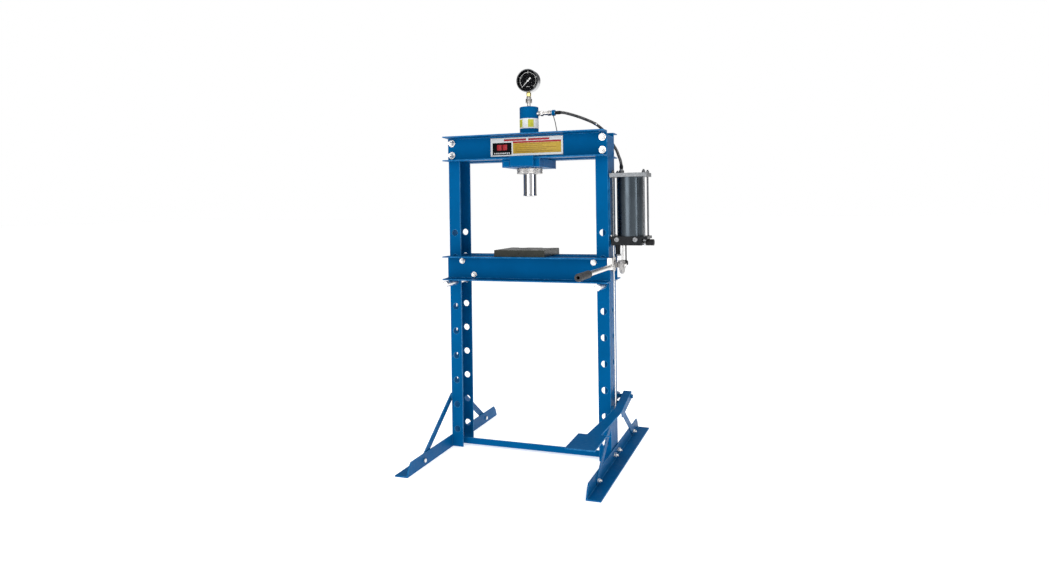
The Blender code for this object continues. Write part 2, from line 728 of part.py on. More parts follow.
def build_pedal():
    y, z = PEDAL_PIVOT
    wall = POST_OUT + GAP
    a, b = ARM_X
    plate = [(0.010, 0.2560), (y + 0.013, 0.2500), (y + 0.013, z + 0.013), (0.010, 0.300)]
    piece(
        "pedal_bracket",
        "blue_paint",
        [
            prism(plate, "x", wall, wall + 0.006),
            bar(PEDAL_PIVOT, 0.009, "x", wall + 0.005, a - 0.0006, 16),
            bar(PEDAL_PIVOT, 0.006, "x", a - 0.001, b + 0.0008, 16),
            hexagon(PEDAL_PIVOT, 0.016, "x", b + 0.0006, b + 0.009),
        ],
    )
    x0, x1, y0, y1, pad_z = PAD
    rise = 0.20
    end = y + 0.014

    def height(at):
        return pad_z + max(0.0, at - y1) * rise

    pad = box(x0, x1, y0, y1 + 0.002, pad_z - 0.0045, pad_z)
    slope = prism(
        [
            (y1, pad_z - 0.0045),
            (end, height(end) - 0.0045),
            (end, height(end)),
            (y1, pad_z),
        ],
        "x",
        0.343,
        b,
    )
    left = [(0.30, -0.30), (0.343, y1 + 0.003), (a, -0.085), (a, end + 0.01), (0.30, end + 0.01)]
    right = [(0.400, y1 + 0.003), (0.45, y1 + 0.003), (0.45, -0.110), (b, -0.110)]
    trim = [
        prism(left, "z", 0.15, 0.35),
        prism(right, "z", 0.15, 0.35),
        bar(PEDAL_PIVOT, 0.0063, "x", a - 0.01, b + 0.01, 16),
    ]
    flanges = []
    for low in (a, b - 0.004):
        outline = [
            (-0.110, height(-0.110) - 0.002),
            (-0.100, height(-0.100) - 0.030),
            (end - 0.004, height(end) - 0.034),
            (end, height(end) - 0.028),
            (end, height(end) - 0.002),
        ]
        flanges.append(prism(outline, "x", low, low + 0.004))
    hook = height(ROD_Y) - 0.016
    slot = box(a - 0.01, a + 0.01, ROD_Y - 0.009, ROD_Y + 0.009, hook - 0.0045, hook + 0.0045)
    trim.append(slot)
    piece("foot_pedal", "blue_paint", [pad, slope, *flanges], trim, (0.42, y, z))
    top = BLOCK[0] + 0.0185
    bend = [
        (ROD_X, ROD_Y, top),
        (ROD_X, ROD_Y, hook + 0.003),
        (ROD_X + 0.0009, ROD_Y, hook + 0.0009),
        (ROD_X + 0.003, ROD_Y, hook),
        (ROD_X + 0.013, ROD_Y, hook),
    ]
    piece("pedal_pull_rod", "zinc", [tube(bend, 0.003, 8)], (), (ROD_X, ROD_Y, hook))


for old in list(bpy.data.objects):
    bpy.data.objects.remove(old)
build_frame()
build_bed()
build_ram()
build_gauge()
build_hose()
build_pump()
build_lever()
build_pedal()
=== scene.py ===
"""Looks of the hydraulic shop press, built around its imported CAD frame.

Metres, +Z up, the front of the press faces -Y. Shapes are written in the press's own
coordinates, with the ram's axis at X = 0, Y = 0 and the floor at Z = 0; piece() moves
them to where the frame's ram is.
"""

import json
import math

import bmesh
import bpy
from mathutils import Matrix, Vector


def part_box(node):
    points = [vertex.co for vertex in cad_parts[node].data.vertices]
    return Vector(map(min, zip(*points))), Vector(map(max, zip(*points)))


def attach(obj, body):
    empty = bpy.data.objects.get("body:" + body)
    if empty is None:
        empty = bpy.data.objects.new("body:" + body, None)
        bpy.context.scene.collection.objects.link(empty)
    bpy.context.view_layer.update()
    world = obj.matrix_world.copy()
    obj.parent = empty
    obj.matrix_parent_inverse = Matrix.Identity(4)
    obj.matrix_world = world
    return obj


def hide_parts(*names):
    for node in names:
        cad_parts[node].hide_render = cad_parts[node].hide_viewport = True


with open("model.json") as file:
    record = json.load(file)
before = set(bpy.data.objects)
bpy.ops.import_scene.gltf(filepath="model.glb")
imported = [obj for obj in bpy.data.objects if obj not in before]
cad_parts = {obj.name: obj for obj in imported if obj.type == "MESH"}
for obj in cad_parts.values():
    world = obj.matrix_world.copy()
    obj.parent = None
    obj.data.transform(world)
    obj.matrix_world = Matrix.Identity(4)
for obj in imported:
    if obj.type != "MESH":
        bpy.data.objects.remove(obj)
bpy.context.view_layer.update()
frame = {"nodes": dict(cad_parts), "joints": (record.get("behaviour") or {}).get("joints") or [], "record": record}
NODES = frame["nodes"]


def middle(node):
    low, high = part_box(node)
    return (low + high) / 2


RAM = Vector((*middle("ram_cylinder").xy, 0.0))


def span(node):
    """A node's lowest and highest corner in the press's own coordinates."""
    low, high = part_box(node)
    return low - RAM, high - RAM


def centre_of(node, axes):
    """The middle of a node's box along the named axes, in the press's own coordinates."""
    low, high = span(node)
    return tuple((getattr(low, axis) + getattr(high, axis)) / 2 for axis in axes)


# ---------------------------------------------------------------- materials


def add_node(tree, kind, inputs=(), **settings):
    made = tree.nodes.new(kind)
    for key, value in settings.items():
        setattr(made, key, value)
    for key, value in dict(inputs).items():
        if isinstance(value, bpy.types.NodeSocket):
            tree.links.new(value, made.inputs[key])
        else:
            made.inputs[key].default_value = value
    return made


def mix_colours(tree, factor, a, b):
    """Colour a where factor is 0, and b where it is 1."""
    a, b = (c if isinstance(c, bpy.types.NodeSocket) else (*c, 1.0) for c in (a, b))
    made = add_node(tree, "ShaderNodeMix", {0: factor, 6: a, 7: b}, data_type="RGBA")
    return made.outputs[2]


class Paint:
    """A procedural material being wired up, in the object's own coordinates in metres."""

    def __init__(self, name, colour, rough, metal=0.0, **sockets):
        self.material = bpy.data.materials.new(name)
        self.material.use_nodes = True
        self.tree = self.material.node_tree
        self.shader = self.tree.nodes["Principled BSDF"]
        self.shader.inputs["Base Color"].default_value = (*colour, 1.0)
        self.shader.inputs["Roughness"].default_value = rough
        self.shader.inputs["Metallic"].default_value = metal
        for socket, value in sockets.items():
            self.shader.inputs[socket.replace("_", " ")].default_value = value
        self.coords = self.node("ShaderNodeTexCoord").outputs["Object"]

    def node(self, kind, inputs=(), **settings):
        return add_node(self.tree, kind, inputs, **settings)

    def noise(self, scale, detail=3.0, stretch=(1, 1, 1)):
        where = self.node("ShaderNodeMapping", {"Vector": self.coords, "Scale": stretch})
        wave = self.node(
            "ShaderNodeTexNoise",
            {"Vector": where.outputs["Vector"], "Scale": scale, "Detail": detail},
        )
        return wave.outputs["Fac"]

    def cells(self, scale):
        made = self.node("ShaderNodeTexVoronoi", {"Vector": self.coords, "Scale": scale})
        split = self.node("ShaderNodeSeparateColor", {"Color": made.outputs["Color"]})
        return split.outputs["Red"]

    def spread(self, value, low, high, to_low, to_high):
        inputs = {"From Min": low, "From Max": high, "To Min": to_low, "To Max": to_high}
        return self.node("ShaderNodeMapRange", {"Value": value, **inputs}).outputs["Result"]

    def math(self, operation, a, b=0.0):
        return self.node("ShaderNodeMath", {0: a, 1: b}, operation=operation).outputs["Value"]

    def mix(self, factor, a, b):
        return mix_colours(self.tree, factor, a, b)

    def between(self, value, a, b, low=0.35, high=0.65, most=1.0):
        """Colour a where value is low, turning into b, up to the share most, where it is high."""
        return self.mix(self.spread(value, low, high, 0.0, most), a, b)

    def edges(self, radius=0.0025):
        """1 along outer and inner edges, 0 on flat faces."""
        rounded = self.node("ShaderNodeBevel", {"Radius": radius}, samples=4)
        flat = self.node("ShaderNodeNewGeometry").outputs["Normal"]
        dot = self.node(
            "ShaderNodeVectorMath",
            {0: rounded.outputs["Normal"], 1: flat},
            operation="DOT_PRODUCT",
        )
        return self.spread(dot.outputs["Value"], 0.995, 0.85, 0.0, 1.0)

    def rubbed(self, radius, noise, limits):
        """A share that is high in patches along the edges."""
        edges = self.edges(radius)
        return self.math("MULTIPLY", edges, self.spread(self.noise(*noise), *limits))

    def colour(self, value):
        self.tree.links.new(value, self.shader.inputs["Base Color"])

    def rough(self, value):
        self.tree.links.new(value, self.shader.inputs["Roughness"])

    def patchy_rough(self, scale, detail, low, high):
        self.rough(self.spread(self.noise(scale, detail), 0.3, 0.7, low, high))

    def bump(self, height, distance, strength=1.0):
        made = self.node(
            "ShaderNodeBump", {"Height": height, "Distance": distance, "Strength": strength}
        )
        self.tree.links.new(made.outputs["Normal"], self.shader.inputs["Normal"])


def blue_paint():
    p = Paint("blue_paint", BLUE, 0.42, Specular_IOR_Level=0.10)
    p.shader.inputs["Specular Tint"].default_value = (0.02, 0.34, 1.0, 1.0)
    cloud = p.noise(7.0, 4.0)
    base = p.between(cloud, BLUE_DEEP, BLUE)
    # Lighter blue in patches along the edges: partly worn paint, partly a painted highlight standing in for the
    # light-blue shine of the rounded edges.
    p.colour(p.mix(p.rubbed(0.0035, (40.0, 5.0), (0.35, 0.6, 0.25, 0.9)), base, BLUE_WORN_EDGE_HIGHLIGHT))
    p.patchy_rough(55.0, 4.0, 0.34, 0.48)
    p.bump(p.noise(700.0, 2.0), 0.0002, 0.35)
    return p.material


def zinc(name, base, warm, pale):
    p = Paint(name, base, 0.3, 1.0)
    flakes = p.cells(420.0)
    tint = p.between(p.noise(90.0), base, warm)
    p.colour(p.between(flakes, tint, pale, 0.0, 1.0, 0.3))
    p.patchy_rough(160.0, 4.0, 0.2, 0.4)
    p.bump(p.noise(1500.0, 2.0), 0.00006, 0.3)
    return p.material


def chrome():
    p = Paint("hard_chrome", (0.72, 0.72, 0.74), 0.07, 1.0)
    rings = p.noise(12.0, 3.0, (1, 1, 260))
    p.rough(p.spread(rings, 0.3, 0.7, 0.05, 0.11))
    p.bump(rings, 0.00001, 0.25)
    return p.material


def stainless():
    p = Paint("stainless_steel", (0.55, 0.55, 0.56), 0.22, 1.0)
    lines = p.noise(30.0, 4.0, (1, 40, 1))
    p.rough(p.spread(lines, 0.3, 0.7, 0.14, 0.27))
    p.bump(lines, 0.00003, 0.3)
    return p.material


def dark_steel():
    p = Paint("dark_oiled_steel", OLIVE, 0.26, Specular_IOR_Level=0.16)
    scale = p.noise(26.0, 6.0)
    base = p.between(scale, OLIVE, OLIVE_PALE, 0.4, 0.62)
    rub = p.rubbed(0.003, (60.0, 4.0), (0.4, 0.6, 0.2, 0.9))
    p.colour(p.mix(rub, base, (0.20, 0.20, 0.17)))
    p.rough(p.spread(scale, 0.3, 0.7, 0.18, 0.32))
    cut = p.noise(9.0, 3.0, (1, 90, 1))
    p.bump(p.math("ADD", cut, p.noise(240.0, 3.0)), 0.00012, 0.5)
    return p.material


def black_paint():
    p = Paint("black_gloss_paint", BLACK, 0.3, Specular_IOR_Level=0.14)
    rub = p.rubbed(0.0018, (80.0, 4.0), (0.45, 0.6, 0.0, 0.5))
    p.colour(p.mix(rub, BLACK, (0.05, 0.056, 0.062)))
    p.patchy_rough(60.0, 4.0, 0.25, 0.36)
    p.bump(p.noise(500.0, 2.0), 0.00015, 0.25)
    return p.material


def gunmetal():
    """Dark blued metal of the air cylinder, drawn lengthwise."""
    p = Paint("gunmetal", (0.070, 0.086, 0.102), 0.24, 1.0)
    drawn = p.noise(60.0, 3.0, (1, 1, 0.03))
    dark, pale = (0.062, 0.078, 0.094), (0.080, 0.098, 0.114)
    p.colour(p.between(drawn, dark, pale, 0.3, 0.7))
    p.patchy_rough(18.0, 4.0, 0.23, 0.33)
    p.bump(drawn, 0.00003, 0.3)
    return p.material


def black_plastic():
    p = Paint("black_plastic", (0.010, 0.010, 0.011), 0.45, Specular_IOR_Level=0.3)
    p.patchy_rough(200.0, 3.0, 0.38, 0.55)
    p.bump(p.noise(1200.0, 2.0), 0.0001, 0.4)
    return p.material


def grip_rubber():
    dark, pale = (0.02, 0.021, 0.024), (0.05, 0.052, 0.058)
    p = Paint("grip_rubber", dark, 0.62)
    p.colour(p.between(p.noise(45.0, 4.0), dark, pale, 0.4, 0.7, 0.6))
    p.patchy_rough(120.0, 3.0, 0.52, 0.75)
    p.bump(p.noise(900.0, 3.0), 0.0002, 0.6)
    return p.material


def casting(name, dark, pale):
    p = Paint(name, dark, 0.42, 0.7)
    grain = p.noise(320.0, 4.0)
    p.colour(p.between(grain, dark, pale))
    p.patchy_rough(70.0, 4.0, 0.34, 0.52)
    p.bump(grain, 0.0002, 0.5)
    return p.material


def brass():
    clean, dull = (0.74, 0.62, 0.24), (0.56, 0.42, 0.14)
    p = Paint("brass", clean, 0.25, 1.0)
    p.colour(p.between(p.noise(130.0, 4.0), clean, dull, 0.4, 0.65, 0.7))
    p.patchy_rough(160.0, 3.0, 0.18, 0.34)
    p.bump(p.noise(900.0, 2.0), 0.00005, 0.3)
    return p.material


def print_ink(name, colour, rough=0.35, shine=0.2):
    """A printed or enamelled colour with a faint grain."""
    p = Paint(name, colour, rough, Specular_IOR_Level=shine)
    dull = tuple(c * 0.86 for c in colour)
    p.colour(p.between(p.noise(180.0, 3.0), colour, dull))
    p.patchy_rough(240.0, 2.0, rough - 0.06, rough + 0.08)
    p.bump(p.noise(1400.0, 2.0), 0.00004, 0.25)
    return p.material


def plate_metal():
    dark, pale = (0.30, 0.32, 0.33), (0.42, 0.43, 0.44)
    p = Paint("plate_aluminium", pale, 0.35, 0.5)
    lines = p.noise(14.0, 3.0, (1, 1, 45))
    p.colour(p.between(lines, dark, pale))
    p.rough(p.spread(lines, 0.3, 0.7, 0.25, 0.38))
    p.bump(lines, 0.00003, 0.3)
    return p.material


def lens_glass():
    clear = {"Transmission_Weight": 1.0, "IOR": 1.08, "Alpha": 0.1}
    p = Paint("gauge_glass", (1.0, 1.0, 1.0), 0.0, **clear)
    p.bump(p.noise(35.0, 1.0), 0.00002, 0.05)
    return p.material


def braid():
    """Hose cover: strands wound both ways, laid out by the tube's own winding map."""
    p = Paint("hose_braid", (0.02, 0.02, 0.022), 0.5)
    winding = p.node("ShaderNodeAttribute", attribute_name="winding").outputs["Vector"]
    parts = p.node("ShaderNodeSeparateXYZ", {"Vector": winding}).outputs
    strands, per_metre, per_turn = [], 300.0, 8.0
    for sign in ("ADD", "SUBTRACT"):
        along = p.math("MULTIPLY", parts[1], per_metre)
        turn = p.math(sign, along, p.math("MULTIPLY", parts[0], per_turn))
        strands.append(p.math("ABSOLUTE", p.math("SINE", p.math("MULTIPLY", turn, math.pi))))
    weave = p.math("MAXIMUM", *strands)
    cross = p.math("MULTIPLY", *strands)
    crossing = p.spread(cross, 0.45, 0.8, 0.0, 1.0)
    fleck = p.math("MULTIPLY", crossing, p.spread(p.cells(160.0), 0.5, 0.8, 0.1, 1.0))
    p.colour(p.mix(fleck, (0.016, 0.016, 0.018), (0.3, 0.3, 0.31)))
    p.rough(p.spread(weave, 0.0, 1.0, 0.6, 0.42))
    p.bump(weave, 0.0006, 0.8)
    return p.material


BLUE, BLUE_DEEP = (0.0005, 0.095, 0.268), (0.0004, 0.084, 0.238)
# Edge colour of the blue paint: worn paint, and a painted highlight along the edges.
BLUE_WORN_EDGE_HIGHLIGHT = (0.10, 0.36, 0.66)
OLIVE, OLIVE_PALE = (0.009, 0.011, 0.007), (0.022, 0.024, 0.017)
BLACK = (0.0035, 0.005, 0.0075)

ZINC_TONES = ((0.80, 0.80, 0.79), (0.78, 0.74, 0.70), (0.88, 0.89, 0.90))
TURNED_TONES = ((0.52, 0.51, 0.50), (0.50, 0.47, 0.44), (0.60, 0.60, 0.60))
BLACKENED_TONES = ((0.16, 0.17, 0.18), (0.13, 0.13, 0.135), (0.24, 0.25, 0.26))
ZINC = "zinc_plated_steel"

MATERIALS = {
    "blue_paint": blue_paint(),
    ZINC: zinc("zinc_plating", *ZINC_TONES),
    "turned_steel": zinc("turned_steel", *TURNED_TONES),
    "dark_zinc": zinc("blackened_zinc", *BLACKENED_TONES),
    "chromed_steel": chrome(),
    "stainless_steel": stainless(),
    "dark_steel": dark_steel(),
    "black_paint": black_paint(),
    "gunmetal": gunmetal(),
    "black_plastic": black_plastic(),
    "grey_casting": casting("grey_casting", (0.15, 0.16, 0.17), (0.24, 0.25, 0.26)),
    "pale_casting": casting("pale_casting", (0.33, 0.32, 0.32), (0.46, 0.45, 0.44)),
    "plate_print": plate_metal(),
    "white_pointer": print_ink("white_enamel", (0.82, 0.82, 0.8)),
    "brass": brass(),
    "gauge_glass": lens_glass(),
    "hose_rubber": braid(),
    "grip_rubber": grip_rubber(),
    "ink_black": print_ink("black_ink", (0.003, 0.003, 0.004), 0.5, 0.05),
    "ink_red": print_ink("red_ink", (0.42, 0.012, 0.02), 0.32),
    "ink_yellow": print_ink("yellow_ink", (0.60, 0.39, 0.045), 0.32),
    "ink_lime": print_ink("lime_ink", (0.58, 0.57, 0.06), 0.32),
    "ink_brown": print_ink("brown_ink", (0.36, 0.2, 0.02), 0.32),
    "ink_white": print_ink("white_ink", (0.84, 0.85, 0.84), 0.4),
}


# ---------------------------------------------------------------- shapes

PLACE = {
    "x": lambda a, b, t: Vector((t, a, b)),
    "y": lambda a, b, t: Vector((a, t, b)),
    "z": lambda a, b, t: Vector((a, b, t)),
}


def loft(rings, caps=True, loop=False):
    """Rings of equally many points, joined one to the next."""
    bm = bmesh.new()
    rows = [[bm.verts.new(p) for p in ring] for ring in rings]
    n = len(rows[0])
    pairs = list(zip(rows, rows[1:])) + ([(rows[-1], rows[0])] if loop else [])
    for low, high in pairs:
        for i in range(n):
            bm.faces.new((low[i], low[(i + 1) % n], high[(i + 1) % n], high[i]))
    if caps and not loop:
        bm.faces.new(rows[0])
        bm.faces.new(rows[-1])
    bmesh.ops.recalc_face_normals(bm, faces=bm.faces)
    return bm


def turned(profile, axis, centre, sides=48, ripple=None):
    """(radius, height) points turned about an axis.

    A radius of 0 closes an end, and a profile that starts with none is a ring.
    ripple(angle, height) scales the radius, for knurls and flutes.
    """
    place = PLACE[axis]
    bm = bmesh.new()
    rows = []
    for radius, height in profile:
        if radius == 0:
            rows.append([bm.verts.new(place(*centre, height))] * sides)
            continue
        row = []
        for i in range(sides):
            turn = 2 * math.pi * i / sides
            r = radius * (ripple(turn, height) if ripple else 1)
            a, b = centre[0] + r * math.cos(turn), centre[1] + r * math.sin(turn)
            row.append(bm.verts.new(place(a, b, height)))
        rows.append(row)
    pairs = list(zip(rows, rows[1:]))
    if profile[0][0] != 0:
        pairs.append((rows[-1], rows[0]))
    for low, high in pairs:
        for i in range(sides):
            j = (i + 1) % sides
            corners = list(dict.fromkeys((low[i], low[j], high[j], high[i])))
            if len(corners) > 2:
                bm.faces.new(corners)
    bmesh.ops.recalc_face_normals(bm, faces=bm.faces)
    return bm


def solid(profile, axis, centre, sides=40, ripple=None):
    """A turned shape whose two ends are closed flat."""
    first, last = profile[0][1], profile[-1][1]
    return turned([(0, first), *profile, (0, last)], axis, centre, sides, ripple)


def disc(radius, axis, centre, low, high, edge=0.0005, sides=32):
    """A round bar with its two ends chamfered."""
    end = radius - edge
    profile = [(end, low), (radius, low + edge), (radius, high - edge), (end, high)]
    return solid(profile, axis, centre, sides)


def prism(outline, axis, low, high, edge=0.0006, segments=2):
    """A closed outline pushed along an axis, with rounded edges."""
    place = PLACE[axis]
    bm = loft([[place(a, b, t) for a, b in outline] for t in (low, high)])
    if edge:
        rounding = {"offset": edge, "segments": segments, "profile": 0.5, "affect": "EDGES"}
        bmesh.ops.bevel(bm, geom=list(bm.edges), **rounding)
    return bm


def block(x0, x1, y0, y1, z0, z1, edge=0.0006):
    return prism([(x0, y0), (x1, y0), (x1, y1), (x0, y1)], "z", z0, z1, edge)


def nut(centre, axis, across, low, high, turn=0.0, per_side=8):
    """A hexagon whose corners are turned down at both faces."""
    place = PLACE[axis]
    half, corner = across / 2, across / math.sqrt(3)
    face = half * 0.95
    points = 6 * per_side
    rise = (corner - face) * math.tan(math.radians(30))
    rings = []
    for height, limit in ((low, face), (low + rise, corner), (high - rise, corner), (high, face)):
        row = []
        for i in range(points):
            angle = 2 * math.pi * i / points
            flat = half / math.cos((angle % (math.pi / 3)) - math.pi / 6)
            r, way = min(flat, limit), angle + turn
            a, b = centre[0] + r * math.cos(way), centre[1] + r * math.sin(way)
            row.append(place(a, b, height))
        rings.append(row)
    return loft(rings)


def thread(radius, axis, centre, low, high, pitch=0.0016, sides=24):
    """A threaded end: a bar of narrow rings, chamfered at both ends."""
    root = radius * 0.87
    count = max(2, int((high - low - pitch) / pitch))
    step = (high - low - pitch) / count
    profile = [(root, low)]
    for k in range(count):
        start = low + pitch / 2 + k * step
        profile += [(root, start), (radius, start + step / 2)]
    profile += [(root, high - pitch / 2), (root, high)]
    return solid(profile, axis, centre, sides)


def tube(points, radius, sides=12, winding=False):
    """A round tube with closed ends along the points.

    radius is a number, or a function of the share of the way.
    """
    points = [Vector(p) for p in points]
    rings, side, along_way, lengths = [], None, 0.0, []
    for i, p in enumerate(points):
        along = (points[min(i + 1, len(points) - 1)] - points[max(i - 1, 0)]).normalized()
        side = along.orthogonal() if side is None else side - along * side.dot(along)
        side.normalize()
        other = along.cross(side)
        along_way += (p - points[i - 1]).length if i else 0.0
        lengths.append(along_way)
        r = radius(i / (len(points) - 1)) if callable(radius) else radius
        turns = [2 * math.pi * k / sides for k in range(sides)]
        rings.append([p + r * (side * math.cos(t) + other * math.sin(t)) for t in turns])
    bm = loft(rings)
    if winding:
        layer = bm.verts.layers.float_vector.new("winding")
        bm.verts.ensure_lookup_table()
        for i in range(len(rings)):
            for k in range(sides):
                fold = 1 - abs(2 * k / sides - 1)
                bm.verts[i * sides + k][layer] = (fold, lengths[i], 0)
    return bm


def smooth_path(points, per_piece=8):
    """Points on a smooth curve through the given ones."""
    points = [Vector(p) for p in points]
    padded = [2 * points[0] - points[1], *points, 2 * points[-1] - points[-2]]
    out = []
    for a, b, c, d in zip(padded, padded[1:], padded[2:], padded[3:]):
        for k in range(per_piece):
            t = k / per_piece
            line = 2 * b + (c - a) * t
            curve = (2 * a - 5 * b + 4 * c - d) * t * t + (3 * b - a - 3 * c + d) * t**3
            out.append(0.5 * (line + curve))
    return [*out, points[-1]]


def weld(start, end, radius=0.0028, pitch=0.0035):
    """A weld bead between two points: a lumpy run of small ripples."""
    start, end = Vector(start), Vector(end)
    steps = max(8, int((end - start).length / pitch) * 4)
    points = [start.lerp(end, k / steps) for k in range(steps + 1)]

    def size(share):
        ends = min(1.0, 12 * min(share, 1 - share) + 0.25)
        ripple = 0.86 + 0.14 * abs(math.sin(share * steps / 4 * math.pi))
        return radius * ends * ripple

    return tube(points, size, 10)


def curved(points, per_piece, radius, sides=12):
    return tube(smooth_path(points, per_piece), radius, sides)


def piece(name, slot, shapes, replaces=(), body="frame", paint=None, sharp=35):
    """One shown piece: its shapes together in one mesh, riding on a body."""
    whole = bmesh.new()
    for bm in shapes:
        part = bpy.data.meshes.new("part")
        bm.to_mesh(part)
        bm.free()
        whole.from_mesh(part)
        bpy.data.meshes.remove(part)
    mesh = bpy.data.meshes.new(name)
    whole.to_mesh(mesh)
    whole.free()
    mesh.transform(Matrix.Translation(RAM))
    mesh.materials.append(MATERIALS[paint or slot])
    mesh.shade_smooth()
    mesh.set_sharp_from_angle(angle=math.radians(sharp))
    made = bpy.data.objects.new(name, mesh)
    bpy.context.scene.collection.objects.link(made)
    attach(made, body)
    if replaces:
        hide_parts(*replaces)
    return made


# ---------------------------------------------------------------- camera and hose

camera = bpy.data.objects.new("camera", bpy.data.cameras.new("camera"))
bpy.context.scene.collection.objects.link(camera)
bpy.context.scene.camera = camera
camera.data.sensor_width = 36.0
camera.data.lens = 25.57
camera.data.shift_y = -0.0752
camera.data.clip_end = 200.0
CAMERA_TURN = 0.3483
camera.matrix_world = (
    Matrix.Translation(Vector((1.1369, -3.2084, 1.1124)) + RAM)
    @ Matrix.Rotation(CAMERA_TURN, 4, "Z")
    @ Matrix.Rotation(math.radians(90), 4, "X")
    @ Matrix.Rotation(-0.0134, 4, "Z")
)

HOSE_R = 0.0065
HOSE_ROUTE = [
    (0.1285, 0.0, 1.536), (0.16, 0.0008, 1.5352), (0.194, 0.0115, 1.5265),
    (0.228, 0.034, 1.515), (0.2557, 0.064, 1.5035), (0.281, 0.095, 1.4905),
    (0.3015, 0.123, 1.4735), (0.318, 0.1415, 1.4535), (0.3322, 0.1495, 1.431),
    (0.3462, 0.1475, 1.409), (0.36, 0.1375, 1.3895), (0.3732, 0.121, 1.3719),
    (0.3845, 0.1015, 1.3561), (0.3939, 0.0812, 1.3405), (0.4021, 0.063, 1.3285),
    (0.4098, 0.0465, 1.3165), (0.4157, 0.0333, 1.3025), (0.4186, 0.027, 1.289),
    (0.4195, 0.025, 1.275),
]
hose_line = smooth_path(HOSE_ROUTE, 24)


def hose():
    braided = tube(hose_line, HOSE_R, 20, winding=True)
    cover = piece("braided_hose", "hose_rubber", [braided], ["hydraulic_hose"])

    def crimped(share):
        groove, lip = math.sin(share * 9.4) > 0.6, share > 0.93
        return 0.0084 - 0.0007 * groove - 0.001 * lip

    upper = piece("upper_ferrule", "black_paint", [tube(hose_line[:20], crimped, 24)])
    lower = piece("lower_ferrule", "black_paint", [tube(hose_line[:-30:-1], crimped, 24)])
    clip = piece("hose_clip", ZINC, [tube(hose_line[122:128], 0.0078, 20)])


# ---------------------------------------------------------------- frame

EDGES = (
    (0.0022, ("left_post", "right_post")),
    (0.0018, ("ram_support_plate",)),
    (0.0016, ("left_foot", "right_foot")),
    (0.0014, ("crown_front_channel", "crown_rear_channel", "pump_top_plate")),
    (0.0014, ("bed_front_channel", "bed_rear_channel")),
    (0.0012, ("cross_bar", "left_bolster_plate", "right_bolster_plate", "pump_base_block")),
    (0.0010, ("pump_bracket", "lever_bracket", "gauge_stem")),
    (0.0009, ("left_front_brace", "left_rear_brace", "right_front_brace", "right_rear_brace")),
    (0.0008, ("foot_pedal",)),
    (0.0007, ("pedal_bracket",)),
    (0.0003, ("nameplate",)),
)
ROUNDED = {name: radius for radius, names in EDGES for name in names}
SLOTS = {s["node"]: s["material_slot"] for s in frame["record"]["subparts"]}


def finish_cad_nodes():
    """Carried-over nodes get their procedural finish, and the larger ones softly rounded edges."""
    for name, node in NODES.items():
        paint = "pale_casting" if name == "lever_bracket" else SLOTS[name]
        node.data.materials.clear()
        node.data.materials.append(MATERIALS[paint])
        if name not in ROUNDED:
            continue
        merge = node.modifiers.new("merge", "WELD")
        merge.merge_threshold = 1e-5
        flat = node.modifiers.new("flat", "DECIMATE")
        flat.decimate_type = "DISSOLVE"
        flat.angle_limit = math.radians(0.5)
        edge = node.modifiers.new("edge", "BEVEL")
        edge.width = ROUNDED[name]
        edge.segments = 3
        edge.limit_method = "ANGLE"
        edge.angle_limit = math.radians(40)
        edge.harden_normals = True
        node.modifiers.new("normals", "WEIGHTED_NORMAL")


def outward(side, a, b):
    """Two distances from the middle, as coordinates on one side of it, lower first."""
    return sorted((side * a, side * b))


def fastened(axis, centre, side, face, sizes, tops, turn, edge=0.0003, sides=32):
    """A washer, a nut and a threaded end, outward from a face.

    sizes are the washer's radius, the nut's width across flats and the thread's radius. tops are
    the washer's top, the thread's start, the nut's top and the thread's tip, above the face.
    """
    washer, across, stud = sizes
    flat, start, top, tip = (face + t for t in tops)
    return [
        disc(washer, axis, centre, *outward(side, face, flat), edge, sides),
        nut(centre, axis, across, *outward(side, flat, top), turn=turn),
        thread(stud, axis, centre, *outward(side, start, tip)),
    ]


def crown():
    """Bolts through the channels' webs and the posts' flanges, front and rear."""
    flange_depth, web, gap = 0.068, 0.007, 0.0003
    face = -span("crown_front_channel")[0].y - flange_depth + web + gap
    across, inner, head = 0.024, 0.0547, 0.0090
    sizes, tops = (across * 0.68, across, 0.008), (0.0025, 0.0140, 0.0150, 0.0300)
    for i in (1, 2, 3, 4):
        at = middle(f"crown_bolt_{i}") - RAM
        centre = (at.x, at.z)
        for side, name, replaced in ((-1, "front", [f"crown_bolt_{i}"]), (1, "rear", [])):
            shapes = fastened("y", centre, side, face, sizes, tops, 0.2, 0.0006, 48)
            shapes.append(nut(centre, "y", across, *outward(side, inner - head, inner), turn=0.35))
            piece(f"crown_{name}_bolt_{i}", ZINC, shapes, replaced)


